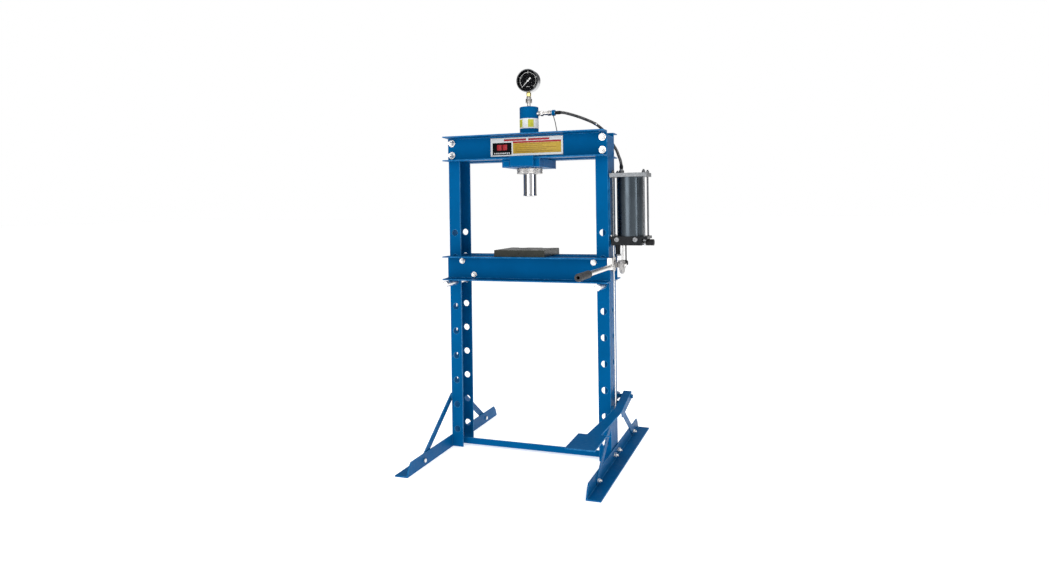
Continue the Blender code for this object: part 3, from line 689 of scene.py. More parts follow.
def nameplate():
    """A riveted plate with plain panels of colour, and plain bars where others have their text."""
    low, high = span("nameplate")
    front, flush, raised = low.y, 0.0006, 0.0009

    def panel(x0, x1, z0, z1, lift=flush):
        return block(x0, x1, front - lift, front - 0.00005, z0, z1, 0.0002)

    def printed(name, ink, panels):
        piece(f"plate_{name}", "plate_print", panels, paint=ink)

    strip, left, right = high.z - 0.022, low.x + 0.010, high.x - 0.008
    split = left + 0.092
    text = split + 0.007
    printed("black_panel", "ink_black", [panel(left, split, low.z + 0.006, strip)])
    printed("yellow_panel", "ink_yellow", [panel(text, right, low.z + 0.010, strip - 0.004)])
    title = (high.z - 0.0155, high.z - 0.0065)
    bars = [
        panel(low.x + 0.066, low.x + 0.172, *title),
        panel(low.x + 0.182, high.x - 0.062, *title),
        panel(text, right, strip - 0.0036, strip + 0.0040),
    ]
    printed("title_bars", "ink_red", bars)
    blocks = [
        panel(x, x + 0.0220, low.z + 0.027, strip - 0.009, raised)
        for x in (left + 0.022, left + 0.049)
    ]
    printed("red_blocks", "ink_red", blocks)
    starts = [left + 0.008 + k * 0.0100 for k in range(8)]
    marks = [panel(x, x + 0.0055, low.z + 0.010, low.z + 0.0165, raised) for x in starts]
    printed("white_marks", "ink_white", marks)
    lines = []
    line_pitch, line_half = 0.0084, 0.0013
    for k, share in enumerate((0.78, 0.62, 0.9, 0.7, 0.84)):
        z = strip - 0.0090 - k * line_pitch
        end = text + (right - split - 0.007) * share
        lines.append(panel(split + 0.015, end, z - line_half, z + line_half, raised))
    printed("text_bars", "ink_brown", lines)
    dome = ((0, 0), (0.0026, 0), (0.0024, 0.0007), (0.0014, 0.0013), (0, 0.0015))
    inset = 0.005
    rivets = [
        turned([(r, front - rise) for r, rise in dome], "y", (x, z), 20)
        for x in (low.x + inset, high.x - inset)
        for z in (low.z + inset, high.z - inset)
    ]
    piece("plate_rivets", ZINC, rivets)


def feet_and_braces():
    """Bolts of the feet and the braces, and the welds of the braces' spacers."""
    foot_width, foot_thick, brace_step = 0.0607, 0.006, 0.0053
    leg = span("right_foot")[1].x - foot_width + foot_thick
    foot_sizes, foot_tops = (0.0110, 0.0180, 0.0055), (0.002, 0.010, 0.011, 0.019)
    brace_sizes, brace_tops = (0.0100, 0.0160, 0.0048), (0.0016, 0.009, 0.0095, 0.0165)
    kinds = (
        # half the Y between two bolts, Z, face, sizes, tops, turn, inner nut and its turn
        (0.036, 0.0305, leg, foot_sizes, foot_tops, 0.3, (0.3650, 0.3728), 0.1),
        (0.340, 0.026, leg + brace_step, brace_sizes, brace_tops, 0.4, (0.3720, 0.3792), 0.2),
    )
    spacer_x, spacer_y, spacer_z, spacer_r = 0.3815, 0.045, 0.232, 0.0135
    turns = [2 * math.pi * k / 30 for k in range(30)]
    for side, name in ((-1, "left"), (1, "right")):
        fasteners, beads = [], []
        for half, z, face, sizes, tops, turn, inner, inner_turn in kinds:
            for y in (-half, half):
                fasteners += fastened("x", (y, z), side, face, sizes, tops, turn)
                inner_run = outward(side, *inner)
                fasteners.append(nut((y, z), "x", sizes[1], *inner_run, turn=inner_turn))
        piece(f"{name}_foot_bolts", ZINC, fasteners)
        for y in (-spacer_y, spacer_y):
            ring = [
                (side * spacer_x, y + spacer_r * math.cos(t), spacer_z + spacer_r * math.sin(t))
                for t in turns
            ]
            beads.append(tube([*ring, ring[0]], 0.0019, 8))
        piece(f"{name}_spacer_welds", "blue_paint", beads)


# ---------------------------------------------------------------- ram and gauge


def ram():
    low, high = span("ram_cylinder")
    top, seat = high.z, span("ram_support_plate")[1].z
    r, bore, neck, socket = high.x, 0.0335, 0.0360, 0.016
    body = [
        (bore, top - 0.014), (bore, low.z + 0.001), (bore + 0.0008, low.z),
        (neck - 0.0006, low.z), (neck, low.z + 0.0006), (neck, seat + 0.0003),
        (r - 0.001, seat + 0.0003), (r, seat + 0.0013), (r, top - 0.004),
        (r - 0.0012, top - 0.0012), (r - 0.004, top), (socket, top),
        (socket - 0.0005, top - 0.0006),
    ]
    piece("ram_body", "blue_paint", [solid(body, "z", (0, 0), 96)], ["ram_cylinder"])
    band_low, band_high = 1.469, 1.514
    band = [
        (r + 0.0001, band_low), (r + 0.0005, band_low), (r + 0.0005, band_high),
        (r + 0.0001, band_high),
    ]
    piece("ram_white_band", "blue_paint", [turned(band, "z", (0, 0), 96)], paint="ink_white")
    patches = []
    half_turn = 0.30
    for middle_turn in (-2.30, -1.05):
        angles = [middle_turn + half_turn * (k / 8 - 1) for k in range(17)]
        outer = [(r + 0.0009, a) for a in angles]
        inner = [(r + 0.0004, a) for a in reversed(angles)]
        rows = [
            [Vector((q * math.cos(a), q * math.sin(a), z)) for q, a in outer + inner]
            for z in (1.474, 1.492, 1.509)
        ]
        patches.append(loft(rows))
    piece("ram_yellow_patches", "blue_paint", patches, paint="ink_lime")

    low, high = span("ram_lock_ring")
    inner, groove, rim = 0.0366, 0.0560, 0.0585
    ring = [
        (inner, low.z), (groove, low.z), (rim - 0.0007, low.z + 0.0018), (rim, low.z + 0.0022),
        (rim, low.z + 0.0085), (groove, low.z + 0.0092), (groove, low.z + 0.0118),
        (rim, low.z + 0.0125), (rim, high.z - 0.0022), (rim - 0.0007, high.z - 0.0018),
        (groove, high.z), (inner, high.z),
    ]

    def knurl(turn, height):
        return 0.988 + 0.012 * abs(math.sin(turn * 60))

    knurled = turned(ring, "z", (0, 0), 360, knurl)
    replaced = ["ram_lock_ring"]
    piece("knurled_lock_ring", ZINC, [knurled], replaced, paint="turned_steel", sharp=50)

    low, high = span("ram_piston_rod")
    tip, nose, shaft, piston, spring_bore = low.z, 0.0310, 0.0300, 0.0329, 0.018
    rod = [
        (0.012, tip + 0.0012), (0.0125, tip), (0.0295, tip), (nose, tip + 0.0015),
        (nose, tip + 0.0078), (shaft, tip + 0.0088), (shaft, high.z - 0.040),
        (piston, high.z - 0.040), (piston, high.z), (spring_bore, high.z), (spring_bore, 1.250),
    ]
    rod_shape = solid(rod, "z", (0, 0), 96)
    piece("chromed_rod", "chromed_steel", [rod_shape], ["ram_piston_rod"], body="ram")


def support_plate_hooks():
    """Hooks that hang the support plate on the crown channels' lower flanges."""
    low, high = span("ram_support_plate")
    flange = span("crown_front_channel")[0]
    edge, tip = -low.y - 0.0005, -flange.y
    foot, under, back = low.z + 0.0035, flange.z + 0.0078, tip + 0.0100
    hook = [
        (edge, foot), (back - 0.0015, foot), (back, foot + 0.0025), (back, under + 0.0017),
        (back - 0.0030, under + 0.0047), (tip - 0.0120, under + 0.0047), (tip - 0.0120, under),
        (tip + 0.0006, under), (tip + 0.0006, high.z - 0.001), (edge, high.z - 0.001),
    ]
    shapes = []
    for side in (-1, 1):
        shapes.append(prism([(side * y, z) for y, z in hook], "x", -0.044, 0.065, 0.0010))
        y0, y1 = outward(side, edge, edge + 0.0085)
        shapes.append(block(-0.0800, -0.0500, y0, y1, foot, low.z + 0.0270, 0.0012))
    piece("support_plate_hooks", "blue_paint", shapes)


def figures(text, x, z, y, size):
    """Dial figures as a thin mesh that faces -Y."""
    curve = bpy.data.curves.new("figures", "FONT")
    curve.body = text
    curve.size = size
    curve.extrude = 0.00008
    curve.align_x = "CENTER"
    curve.align_y = "CENTER"
    holder = bpy.data.objects.new("figures", curve)
    bpy.context.scene.collection.objects.link(holder)
    bpy.context.view_layer.update()
    made = holder.evaluated_get(bpy.context.evaluated_depsgraph_get())
    mesh = bpy.data.meshes.new_from_object(made)
    bpy.data.objects.remove(holder)
    mesh.transform(Matrix.Translation((x, y, z)) @ Matrix.Rotation(math.radians(90), 4, "X"))
    bm = bmesh.new()
    bm.from_mesh(mesh)
    bpy.data.meshes.remove(mesh)
    return bm


GAUGE_R = 0.0512
DIAL_START, DIAL_SWEEP, DIAL_STEPS = 225, 270, 40
DIAL_TURNS = [
    math.radians(DIAL_START - DIAL_SWEEP * k / DIAL_STEPS) for k in range(DIAL_STEPS + 1)
]


def dial_marks(z):
    """Graduations, figures, their arc and a plain bar, all as thin white shapes on the face."""
    front, back = -0.00875, -0.00855

    def flat(outline):
        return prism(outline, "y", front, back, 0)

    def radial(turn, inner, outer, half):
        c, s = math.cos(turn), math.sin(turn)
        corners = [(inner, half), (outer, half), (outer, -half), (inner, -half)]
        return flat([(a * c - b * s, z + a * s + b * c) for a, b in corners])

    marks = []
    for k, turn in enumerate(DIAL_TURNS):
        inner, half = 0.0362, 0.00018
        if k % 10 == 0:
            inner, half = 0.0335, 0.0004
        elif k % 5 == 0:
            inner = 0.0350
        marks.append(radial(turn, inner, 0.0380, half))
    figure_r, figure_size = 0.0425, 0.0055
    for k in range(0, DIAL_STEPS + 1, 10):
        turn = DIAL_TURNS[k]
        x, up = figure_r * math.cos(turn), figure_r * math.sin(turn)
        marks.append(figures(str(k), x, z + up, -0.0087, figure_size))
    first, last = DIAL_TURNS[0], DIAL_TURNS[-1]
    arc = [first + (last - first) * k / 72 for k in range(73)]
    sides = ((0.0389, arc), (0.0381, arc[::-1]))
    marks.append(flat([(q * math.cos(a), z + q * math.sin(a)) for q, way in sides for a in way]))
    marks.append(block(-0.008, 0.008, front, back, z - 0.0275, z - 0.0263, 0))
    return marks


def gauge():
    z, r = middle("gauge_case").z, GAUGE_R
    centre = (0.0, z)

    def round_y(make, profile, sides=96):
        return [make(profile, "y", centre, sides)]

    case = [
        (r - 0.010, 0.0230), (r - 0.003, 0.0215), (r, 0.0180), (r, -0.0155),
        (r - 0.001, -0.0160), (r - 0.001, 0.0160),
    ]
    piece("gauge_housing", "stainless_steel", round_y(solid, case), ["gauge_case"])
    bezel = [
        (r + 0.0001, -0.0140), (r + 0.0008, -0.0140), (r + 0.0012, -0.0150),
        (r + 0.0012, -0.0195), (r + 0.0004, -0.0210), (r - 0.0010, -0.0216),
        (r - 0.0024, -0.0208), (r - 0.0030, -0.0190), (r - 0.0030, -0.0168),
        (r + 0.0001, -0.0164),
    ]
    ring = round_y(turned, bezel)
    piece("gauge_ring", "stainless_steel", ring, ["gauge_bezel"], paint="dark_zinc")
    face = round_y(solid, [(0.0500, -0.0070), (0.0500, -0.0085)], 72)
    piece("gauge_face", "black_plastic", face, ["gauge_dial"], paint="ink_black")
    glass = [(0, -0.0140), (0.0498, -0.0140), (0.0500, -0.0150), (0.0480, -0.0160), (0, -0.0161)]
    piece("gauge_window", "gauge_glass", round_y(turned, glass, 72), ["gauge_lens"])
    piece("gauge_marks", "white_pointer", dial_marks(z))

    turn = DIAL_TURNS[0]
    along = Vector((math.cos(turn), math.sin(turn)))
    across = Vector((-math.sin(turn), math.cos(turn)))
    half = [
        (0.0370, 0.0004), (0.0280, 0.0010), (0.0050, 0.0016), (-0.0080, 0.0018),
        (-0.0120, 0.0034), (-0.0165, 0.0036), (-0.0185, 0.0020),
    ]
    outline = half + [(a, -b) for a, b in reversed(half)]
    flat = [(along.x * a + across.x * b, z + along.y * a + across.y * b) for a, b in outline]
    hub = [(0, -0.0090), (0.0045, -0.0090), (0.0045, -0.0116), (0.0036, -0.0126), (0, -0.0128)]
    hand = [prism(flat, "y", -0.0110, -0.0102, 0.0001), *round_y(turned, hub, 32)]
    piece("gauge_hand", "white_pointer", hand, ["gauge_needle"], body="needle")

    def round_z(profile, sides):
        return solid(profile, "z", (0, 0), sides)

    low, high = span("gauge_adapter")
    thick = [(0.0110, low.z), (0.0110, low.z + 0.004), (0.0075, low.z + 0.006), (0.0075, 1.588)]
    fitting = [
        round_z(thick, 40),
        nut((0, 0), "z", 0.0250, 1.586, 1.6065, turn=0.35),
        round_z([(0.0105, 1.606), (0.0105, 1.6145), (0.0090, high.z)], 40),
    ]
    piece("gauge_coupling", ZINC, fitting, ["gauge_adapter"], paint="turned_steel")
    low, high = span("gauge_stem")
    half = 0.0085
    neck = [
        round_z([(0.0088, low.z), (0.0088, low.z + 0.003)], 32),
        block(-half, half, -half, half, low.z + 0.002, high.z - 0.0025, 0.0008),
        round_z([(0.0072, high.z - 0.003), (0.0072, high.z)], 32),
    ]
    piece("gauge_square", "brass", neck, ["gauge_stem"])


# ---------------------------------------------------------------- line fittings and wire guide


def line_fittings():
    z = middle("ram_port_fitting").z
    start, end = (corner.x for corner in span("ram_port_fitting"))
    line = (0.0, z)
    spigot = [(0.0115, start - 0.002), (0.0115, 0.0505), (0.0080, 0.0525), (0.0080, 0.0570)]
    tail = [(0.0078, 0.0695), (0.0078, 0.0760), (0.0088, 0.0770), (0.0088, end)]
    shapes = [
        solid(spigot, "x", line),
        nut(line, "x", 0.0210, 0.0560, 0.0700, math.pi / 6),
        solid(tail, "x", line),
    ]
    piece("port_union", ZINC, shapes, ["ram_port_fitting"], paint="turned_steel")
    sleeve = [(0.0110, 0.0903)]
    for k in range(7):
        x = 0.0912 + k * 0.0022
        sleeve += [(0.0122, x), (0.0122, x + 0.0013), (0.0112, x + 0.0017)]
    sleeve += [(0.0095, 0.1075), (0.0095, 0.1272)]
    shapes = [solid(sleeve, "x", line, 48)]
    piece("quick_coupler", ZINC, shapes, ["hose_coupler"], paint="turned_steel")
    low, high = span("pump_hose_fitting")
    centre = centre_of("pump_hose_fitting", "xy")
    shapes = [
        disc(0.0100, "z", centre, low.z, low.z + 0.0025, 0.0004, 40),
        nut(centre, "z", 0.0205, low.z + 0.0023, low.z + 0.0140, 0.3),
        solid([(0.0085, low.z + 0.0135), (0.0080, high.z)], "z", centre),
    ]
    piece("pump_adapter", ZINC, shapes, ["pump_hose_fitting"], paint="dark_zinc")
    rest = span("crown_front_channel")[1].z + 0.0021
    collar = [
        (0.0102, 0.1105), (0.0118, 0.1105), (0.0135, 0.1125), (0.0138, 0.1180),
        (0.0135, 0.1240), (0.0118, 0.1262), (0.0102, 0.1262),
    ]
    wire = [
        (0.1190, -0.0060, 1.5240), (0.1235, -0.0150, 1.5130), (0.1360, -0.0370, 1.4900),
        (0.1460, -0.0550, 1.4660), (0.1530, -0.0660, 1.4480), (0.1600, -0.0690, rest + 0.0001),
        (0.1750, -0.0690, rest),
    ]
    piece("hose_collar", "blue_paint", [turned(collar, "x", line, 48)])
    piece("guide_wire", "black_plastic", [curved(wire, 10, 0.0019)])


# ---------------------------------------------------------------- bed


def bed():
    face, reach = 0.0686, 0.0605
    sizes, tops = (0.0130, 0.0200, 0.0062), (0.0020, 0.0110, 0.0115, 0.0180)
    for i in (1, 2, 3, 4):
        at = middle(f"bed_tie_bolt_{i}") - RAM
        centre = (at.x, at.z)
        shapes = [disc(0.0100, "y", centre, -reach, reach, 0.0005, 40)]
        for side in (-1, 1):
            shapes += fastened("y", centre, side, face, sizes, tops, 0.25 * i, 0.0004, 36)
            shank = outward(side, 0.0600, face + 0.0010)
            shapes.append(disc(0.0062, "y", centre, *shank, 0.0002, 24))
        piece(f"bed_bolt_{i}", ZINC, shapes, [f"bed_tie_bolt_{i}"], body="bed")
    r, groove = 0.0133, 0.0133 - 0.0012
    for name in ("left", "right"):
        node = f"{name}_bed_pin"
        start, end = (corner.y for corner in span(node))
        profile = [
            (0.0030, start + 0.0012), (0.0040, start), (r - 0.0022, start), (r, start + 0.0022),
            (r, start + 0.0140), (groove, start + 0.0150), (groove, start + 0.0180),
            (r, start + 0.0190), (r, end - 0.0025), (r - 0.0025, end),
        ]
        pin = solid(profile, "y", centre_of(node, "xz"), 64)
        piece(f"{name}_round_pin", ZINC, [pin], [node], body=f"{name}_pin")


# ---------------------------------------------------------------- pump

BLOCK_UNDER = 0.9674


def air_cylinder():
    low, high = span("pump_barrel")
    centre, r = (centre_of("pump_barrel", "x")[0], 0), 0.0553
    wall = [
        (r - 0.004, low.z), (r + 0.0002, low.z), (r + 0.0002, low.z + 0.004),
        (r - 0.0006, low.z + 0.0048), (r - 0.0006, high.z - 0.0048),
        (r + 0.0002, high.z - 0.004), (r + 0.0002, high.z), (r - 0.004, high.z),
    ]
    barrel = turned(wall, "z", centre, 96)
    piece("air_cylinder", "black_paint", [barrel], ["pump_barrel"], paint="gunmetal")
    plate_low, plate_high = span("pump_top_plate")
    rod_start = span("pump_base_block")[1].z - 0.0117
    rod_r, thread_r, washer_r, across, pitch = 0.0042, 0.0044, 0.0085, 0.0130, 0.0012
    for i in (1, 2, 3, 4):
        node = f"pump_tie_rod_{i}"
        low, high = span(node)
        at, top, under = centre_of(node, "xy"), plate_high.z, BLOCK_UNDER
        shapes = [
            disc(rod_r, "z", at, rod_start, plate_low.z + 0.010, 0.0003, 24),
            thread(thread_r, "z", at, plate_low.z + 0.009, high.z, pitch),
            disc(washer_r, "z", at, top + 0.0002, top + 0.0016, 0.0003, 32),
            nut(at, "z", across, top + 0.0016, top + 0.0088, turn=0.5 * i),
        ]
        if at[0] > centre[0]:
            shapes += [
                disc(washer_r, "z", at, under, under + 0.0013, 0.0003, 32),
                nut(at, "z", across, under - 0.0069, under + 0.0001, turn=0.3 * i),
                thread(thread_r, "z", at, low.z, under + 0.0026, pitch),
            ]
        piece(f"tie_rod_{i}", ZINC, shapes, [node], paint="dark_zinc")


def base_block_parts():
    """Port plugs on the front of the base block, and the silencer on its right."""
    front = span("pump_base_block")[0].y
    hole, rim, seat = 0.0048, 0.0105, front - 0.0001
    ring = [
        (hole, front - 0.0030), (rim - 0.0010, front - 0.0030), (rim, front - 0.0022),
        (rim, seat), (hole, seat),
    ]
    ports = []
    for centre in ((0.4130, 0.9668), (0.4930, 0.9668)):
        ports.append(turned(ring, "y", centre, 40))
        ports.append(solid([(hole, front - 0.0008), (hole, seat)], "y", centre, 6))
    piece("port_plugs", ZINC, ports, paint="dark_zinc")
    start, end = (corner.x for corner in span("air_silencer"))
    centre = centre_of("air_silencer", "yz")
    hexagon = nut(centre, "x", 0.0240, start + 0.0002, start + 0.0095, 0.26)
    piece("silencer_hexagon", ZINC, [hexagon])
    outer, groove = 0.0144, 0.0126
    body = [(0.0100, start + 0.0090), (0.0143, start + 0.0105)]
    ribs = 6
    step = (end - 0.004 - start - 0.0105) / ribs
    for k in range(ribs):
        here = start + 0.0105 + k * step
        body += [
            (outer, here + 0.3 * step), (groove, here + 0.5 * step),
            (groove, here + 0.8 * step), (outer, here + step),
        ]
    body += [
        (0.0140, end - 0.002), (0.0120, end - 0.0004), (0.0060, end - 0.0004),
        (0.0055, end - 0.002),
    ]
    piece("air_muffler", "black_plastic", [solid(body, "x", centre, 48)], ["air_silencer"])


def bracket_fixings():
    """Welds along the pump bracket's two edges, and its four bolts."""
    low, high = span("pump_bracket")
    bolts = []
    for z in (high.z - 0.010, low.z + 0.046):
        for y in (-0.0385, 0.0385):
            bolts += [
                disc(0.0085, "x", (y, z), high.x - 0.0004, high.x + 0.0008, 0.0002, 32),
                nut((y, z), "x", 0.0120, high.x + 0.0006, high.x + 0.0060, turn=0.2),
            ]
    x, inset = low.x + 0.001, 0.02
    beads = [
        weld((x, y, low.z + inset), (x, y, high.z - inset), 0.0024) for y in (-0.0515, 0.0515)
    ]
    piece("bracket_welds", "blue_paint", beads)
    piece("bracket_bolts", ZINC, bolts)


def hand_pump():
    low, high = span("hand_pump_cylinder")
    centre = centre_of("hand_pump_cylinder", "xy")
    bore, wall, collar, lip = 0.0068, 0.0106, 0.0114, 0.0128
    body = [
        (bore, low.z), (collar - 0.0009, low.z), (collar, low.z + 0.001),
        (collar, low.z + 0.007), (wall, low.z + 0.008), (wall, high.z - 0.010),
        (collar, high.z - 0.009), (collar, high.z), (bore, high.z),
    ]
    barrel = turned(body, "z", centre, 48)
    piece("hand_pump_barrel", "black_paint", [barrel], ["hand_pump_cylinder"])
    gland = [
        (collar + 0.0002, low.z + 0.0002), (lip, low.z + 0.0008), (lip, low.z + 0.0062),
        (collar + 0.0002, low.z + 0.0068),
    ]
    piece("hand_pump_gland", ZINC, [turned(gland, "z", centre, 48)], paint="dark_zinc")
    low, high = span("hand_pump_plunger")
    head, shaft = 0.0077, 0.0060
    body = [
        (head - 0.0007, low.z), (head, low.z + 0.0008), (head, low.z + 0.0052),
        (shaft, low.z + 0.0060), (shaft, high.z - 0.001), (shaft - 0.0010, high.z),
    ]
    shape = solid(body, "z", centre)
    piece("plunger", "chromed_steel", [shape], ["hand_pump_plunger"], body="plunger")
    low, high = span("release_valve_knob")
    centre = centre_of("release_valve_knob", "xy")
    rim, stem = 0.0094, 0.0030
    knob = [
        (0.0080, low.z), (rim, low.z + 0.0018), (rim, low.z + 0.0150), (0.0072, low.z + 0.0188),
        (stem, low.z + 0.0200), (stem, high.z),
    ]

    def flutes(turn, height):
        fluted = low.z + 0.001 < height < low.z + 0.017
        return 0.955 + 0.045 * abs(math.cos(turn * 6)) if fluted else 1.0

    shape = solid(knob, "z", centre, 144, flutes)
    replaced = ["release_valve_knob"]
    piece("fluted_knob", "black_plastic", [shape], replaced, body="release_knob", sharp=50)


def lever_and_grip(x, z):
    """The lever's tube, its socket between two cheeks, and the ribbed rubber grip."""
    r, collar, butt, tip = 0.0098, 0.0118, -0.1860, -0.6000
    bar = [(r - 0.0006, tip), (r, tip + 0.0008), (r, butt)]
    end = [(r, -0.2000), (collar, -0.1990), (collar, -0.1880), (r, -0.1870)]
    shapes = [solid(bar, "y", (x, z), 48), turned(end, "y", (x, z), 48)]
    piece("lever_tube", ZINC, shapes, ["hand_lever"], body="lever")
    wide, narrow, outer, inner, web = 0.0112, 0.0088, 0.0113, 0.0055, 0.0063
    cheek = [
        (-0.1895, z - wide), (-0.0642, z - narrow), (-0.0642, z + narrow), (-0.1895, z + wide),
    ]
    shapes = [
        prism(cheek, "x", x - outer, x - inner, 0.0010),
        prism(cheek, "x", x + inner, x + outer, 0.0010),
        block(x - 0.0060, x + 0.0060, -0.1890, -0.0960, z - narrow, z + narrow, 0.0006),
        block(x - web, x + web, -0.0720, -0.0350, z - 0.0068, z + 0.0008, 0.0006),
        disc(0.0088, "x", (-0.0350, z), x - web, x + web, 0.0006, 40),
        block(x - 0.0116, x + 0.0116, -0.1899, -0.1650, z - 0.0129, z + 0.0369, 0.0018),
    ]
    piece("lever_socket", ZINC, shapes, body="lever")
    start, end = (corner.y for corner in span("lever_grip"))
    outer, valley, hollow, drain, floor_y = 0.0144, 0.0132, 0.0098, 0.0060, start + 0.020
    profile = [
        (hollow, end - 0.0010), (hollow, floor_y), (drain, floor_y), (drain, start + 0.0006),
        (drain + 0.0010, start), (0.0120, start), (outer, start + 0.0030),
        (outer, start + 0.010),
    ]
    ribs, first, last = 15, start + 0.014, end - 0.030
    step = (last - first) / ribs
    for k in range(ribs):
        here = first + k * step
        crest = outer - 0.0002
        profile += [(valley, here), (crest, here + 0.35 * step), (crest, here + 0.75 * step)]
    profile += [
        (valley, last), (valley, end - 0.012), (outer, end - 0.010), (outer, end - 0.004),
        (0.0125, end - 0.0006),
    ]
    shape = turned(profile, "y", (x, z), 64)
    piece("ribbed_grip", "grip_rubber", [shape], ["lever_grip"], body="lever")


def fulcrum_casting(pivot):
    """A pale casting beside the lever's fulcrum, its bolt, and two bent links up to the pump."""
    outline = [
        (-0.110, 0.872), (-0.100, 0.881), (-0.062, 0.881), (-0.055, 0.873), (-0.055, 0.846),
        (-0.065, 0.830), (-0.082, 0.822), (-0.099, 0.829), (-0.110, 0.845),
    ]
    web = [(-0.078, 0.868), (-0.062, 0.868), (-0.062, 0.862), (-0.070, 0.856)]
    body = [
        prism(outline, "x", 0.4336, 0.4495, 0.0040, 4),
        disc(0.0135, "x", pivot, 0.4485, 0.4520, 0.0010, 40),
        prism(web, "x", 0.4480, 0.4565, 0.0008),
    ]
    piece("lever_casting", "grey_casting", body, paint="pale_casting")
    top, low_end = 0.9414, 0.8790
    thick = [
        (0.4430, -0.0500, top), (0.4425, -0.0530, 0.9250), (0.4420, -0.0610, 0.9000),
        (0.4420, -0.0680, low_end),
    ]
    thin = [
        (0.4370, -0.0500, top), (0.4375, -0.0600, 0.9200), (0.4390, -0.0760, 0.9000),
        (0.4400, -0.0820, low_end),
    ]
    fasteners = [
        disc(0.0085, "x", pivot, 0.4521, 0.4537, 0.0004, 32),
        nut(pivot, "x", 0.0130, 0.4537, 0.4605, turn=0.3),
        curved(thick, 6, 0.0022),
        curved(thin, 6, 0.0016),
    ]
    piece("casting_links", ZINC, fasteners)


def lever():
    pos = next(joint for joint in frame["joints"] if joint["name"] == "lever_pivot")["pos_m"]
    pivot = (pos[1] - RAM.y, pos[2])
    lever_and_grip(centre_of("hand_lever", "x")[0], pivot[1])
    fulcrum_casting(pivot)


# ---------------------------------------------------------------- pedal


def pull_wire():
    """The pedal's pull rod, bent outward at its foot into the pedal's hole."""
    low, high = span("pedal_pull_rod")
    x, y = 0.396, -0.045
    bend = [
        (x, y, high.z), (x, y, 0.60), (x, y, low.z + 0.0100), (x + 0.0003, y, low.z + 0.0055),
        (x + 0.0022, y, low.z + 0.0034), (x + 0.0060, y, low.z + 0.0030),
        (x + 0.0130, y, low.z + 0.0030),
    ]
    piece("pull_wire", ZINC, [tube(bend, 0.0029, 16)], ["pedal_pull_rod"], body="pull_rod")


# ---------------------------------------------------------------- floor, light and world


def area_light(name, place, wide, tall, power):
    """A rectangular lamp that faces the middle of the press."""
    lamp = bpy.data.lights.new(name, "AREA")
    lamp.shape = "RECTANGLE"
    lamp.size, lamp.size_y = wide, tall
    lamp.energy = power
    holder = bpy.data.objects.new(name, lamp)
    bpy.context.scene.collection.objects.link(holder)
    holder.location = RAM + Vector(place)
    target = RAM + Vector((0, 0, 0.9))
    holder.rotation_euler = (target - holder.location).to_track_quat("-Z", "Y").to_euler()


def floor():
    mesh = bpy.data.meshes.new("floor")
    size = 60.0
    corners = [(-size, -size, 0), (size, -size, 0), (size, size, 0), (-size, size, 0)]
    mesh.from_pydata(corners, [], [(0, 1, 2, 3)])
    made = bpy.data.objects.new("floor", mesh)
    bpy.context.scene.collection.objects.link(made)
    made.location.z = -0.0005
    p = Paint("pale_floor", (0.92, 0.92, 0.92), 0.7, Specular_IOR_Level=0.1)
    p.shader.inputs["Emission Color"].default_value = (1.0, 1.0, 1.0, 1.0)
    p.shader.inputs["Emission Strength"].default_value = 0.62
    p.colour(p.mix(p.noise(3.0, 2.0), (0.90, 0.90, 0.90), (0.94, 0.94, 0.94)))
    mesh.materials.append(p.material)


FRONT, SIDES, BEHIND, ABOVE = 0.55, 0.13, 0.60, 0.65


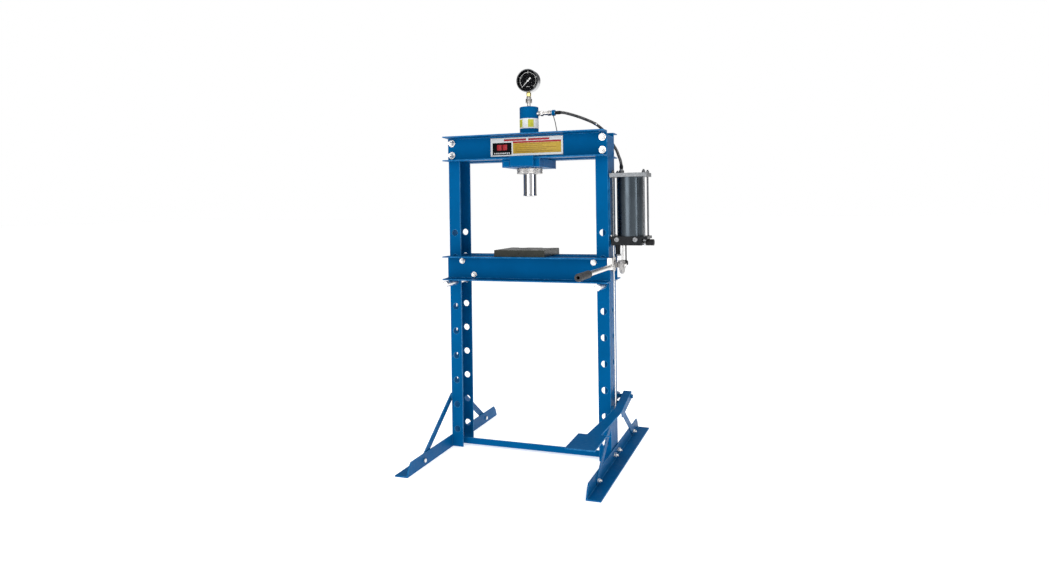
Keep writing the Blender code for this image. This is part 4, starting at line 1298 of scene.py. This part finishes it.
def surroundings():
    """A studio seen only in reflections, and plain white for the camera.

    It is bright in front and above and dim at the sides, with a bright strip low behind.
    """
    world = bpy.data.worlds.new("studio")
    bpy.context.scene.world = world
    world.use_nodes = True
    tree = world.node_tree

    def node(kind, inputs=(), **settings):
        return add_node(tree, kind, inputs, **settings)

    def ramp(value, stops):
        made = node("ShaderNodeValToRGB", {"Fac": value})
        while len(made.color_ramp.elements) < len(stops):
            made.color_ramp.elements.new(0.5)
        for element, (at, level) in zip(made.color_ramp.elements, stops):
            element.position = at
            element.color = (level, level, level, 1)
        return made.outputs["Color"]

    def rise(value, **limits):
        inputs = {"Value": value, **{key.replace("_", " "): v for key, v in limits.items()}}
        return node("ShaderNodeMapRange", inputs).outputs["Result"]

    way = node("ShaderNodeTexCoord").outputs["Generated"]
    level = node("ShaderNodeVectorMath", {0: way, 1: (1, 1, 0)}, operation="MULTIPLY")
    unit = node("ShaderNodeVectorMath", {0: level.outputs[0]}, operation="NORMALIZE")
    front = (math.sin(CAMERA_TURN), -math.cos(CAMERA_TURN), 0)
    both = {0: unit.outputs[0], 1: front}
    toward = node("ShaderNodeVectorMath", both, operation="DOT_PRODUCT").outputs["Value"]
    share = rise(toward, From_Min=-1.0)
    height = node("ShaderNodeSeparateXYZ", {0: way}).outputs["Z"]
    ahead = ((0.70, SIDES), (0.80, FRONT), (1.0, FRONT))
    around = ramp(share, ((0.0, BEHIND), (0.12, BEHIND), (0.20, SIDES), *ahead))
    low_strip = rise(height, From_Min=0.10, From_Max=0.18)
    upper = ramp(share, ((0.0, SIDES), *ahead))
    ring = mix_colours(tree, low_strip, around, upper)
    above = rise(height, From_Min=0.45, From_Max=0.75)
    sky = mix_colours(tree, above, ring, (ABOVE, ABOVE, ABOVE))
    seen = node("ShaderNodeLightPath").outputs["Is Camera Ray"]
    lit = mix_colours(tree, seen, sky, (1, 1, 1))
    tree.links.new(lit, tree.nodes["Background"].inputs["Color"])


STEPS = (
    hose, finish_cad_nodes, crown, nameplate, feet_and_braces, ram, support_plate_hooks, gauge,
    line_fittings, bed, air_cylinder, base_block_parts, bracket_fixings, hand_pump, lever,
    pull_wire, floor, surroundings,
)
for build in STEPS:
    build()
bpy.context.scene.view_settings.view_transform = "Standard"
area_light("key", (-0.9, -4.4, 2.0), 2.6, 3.2, 72)
area_light("fill", (4.2, -1.2, 1.8), 1.4, 2.8, 44)
area_light("top", (0.0, 0.4, 4.6), 3.4, 3.4, 70)
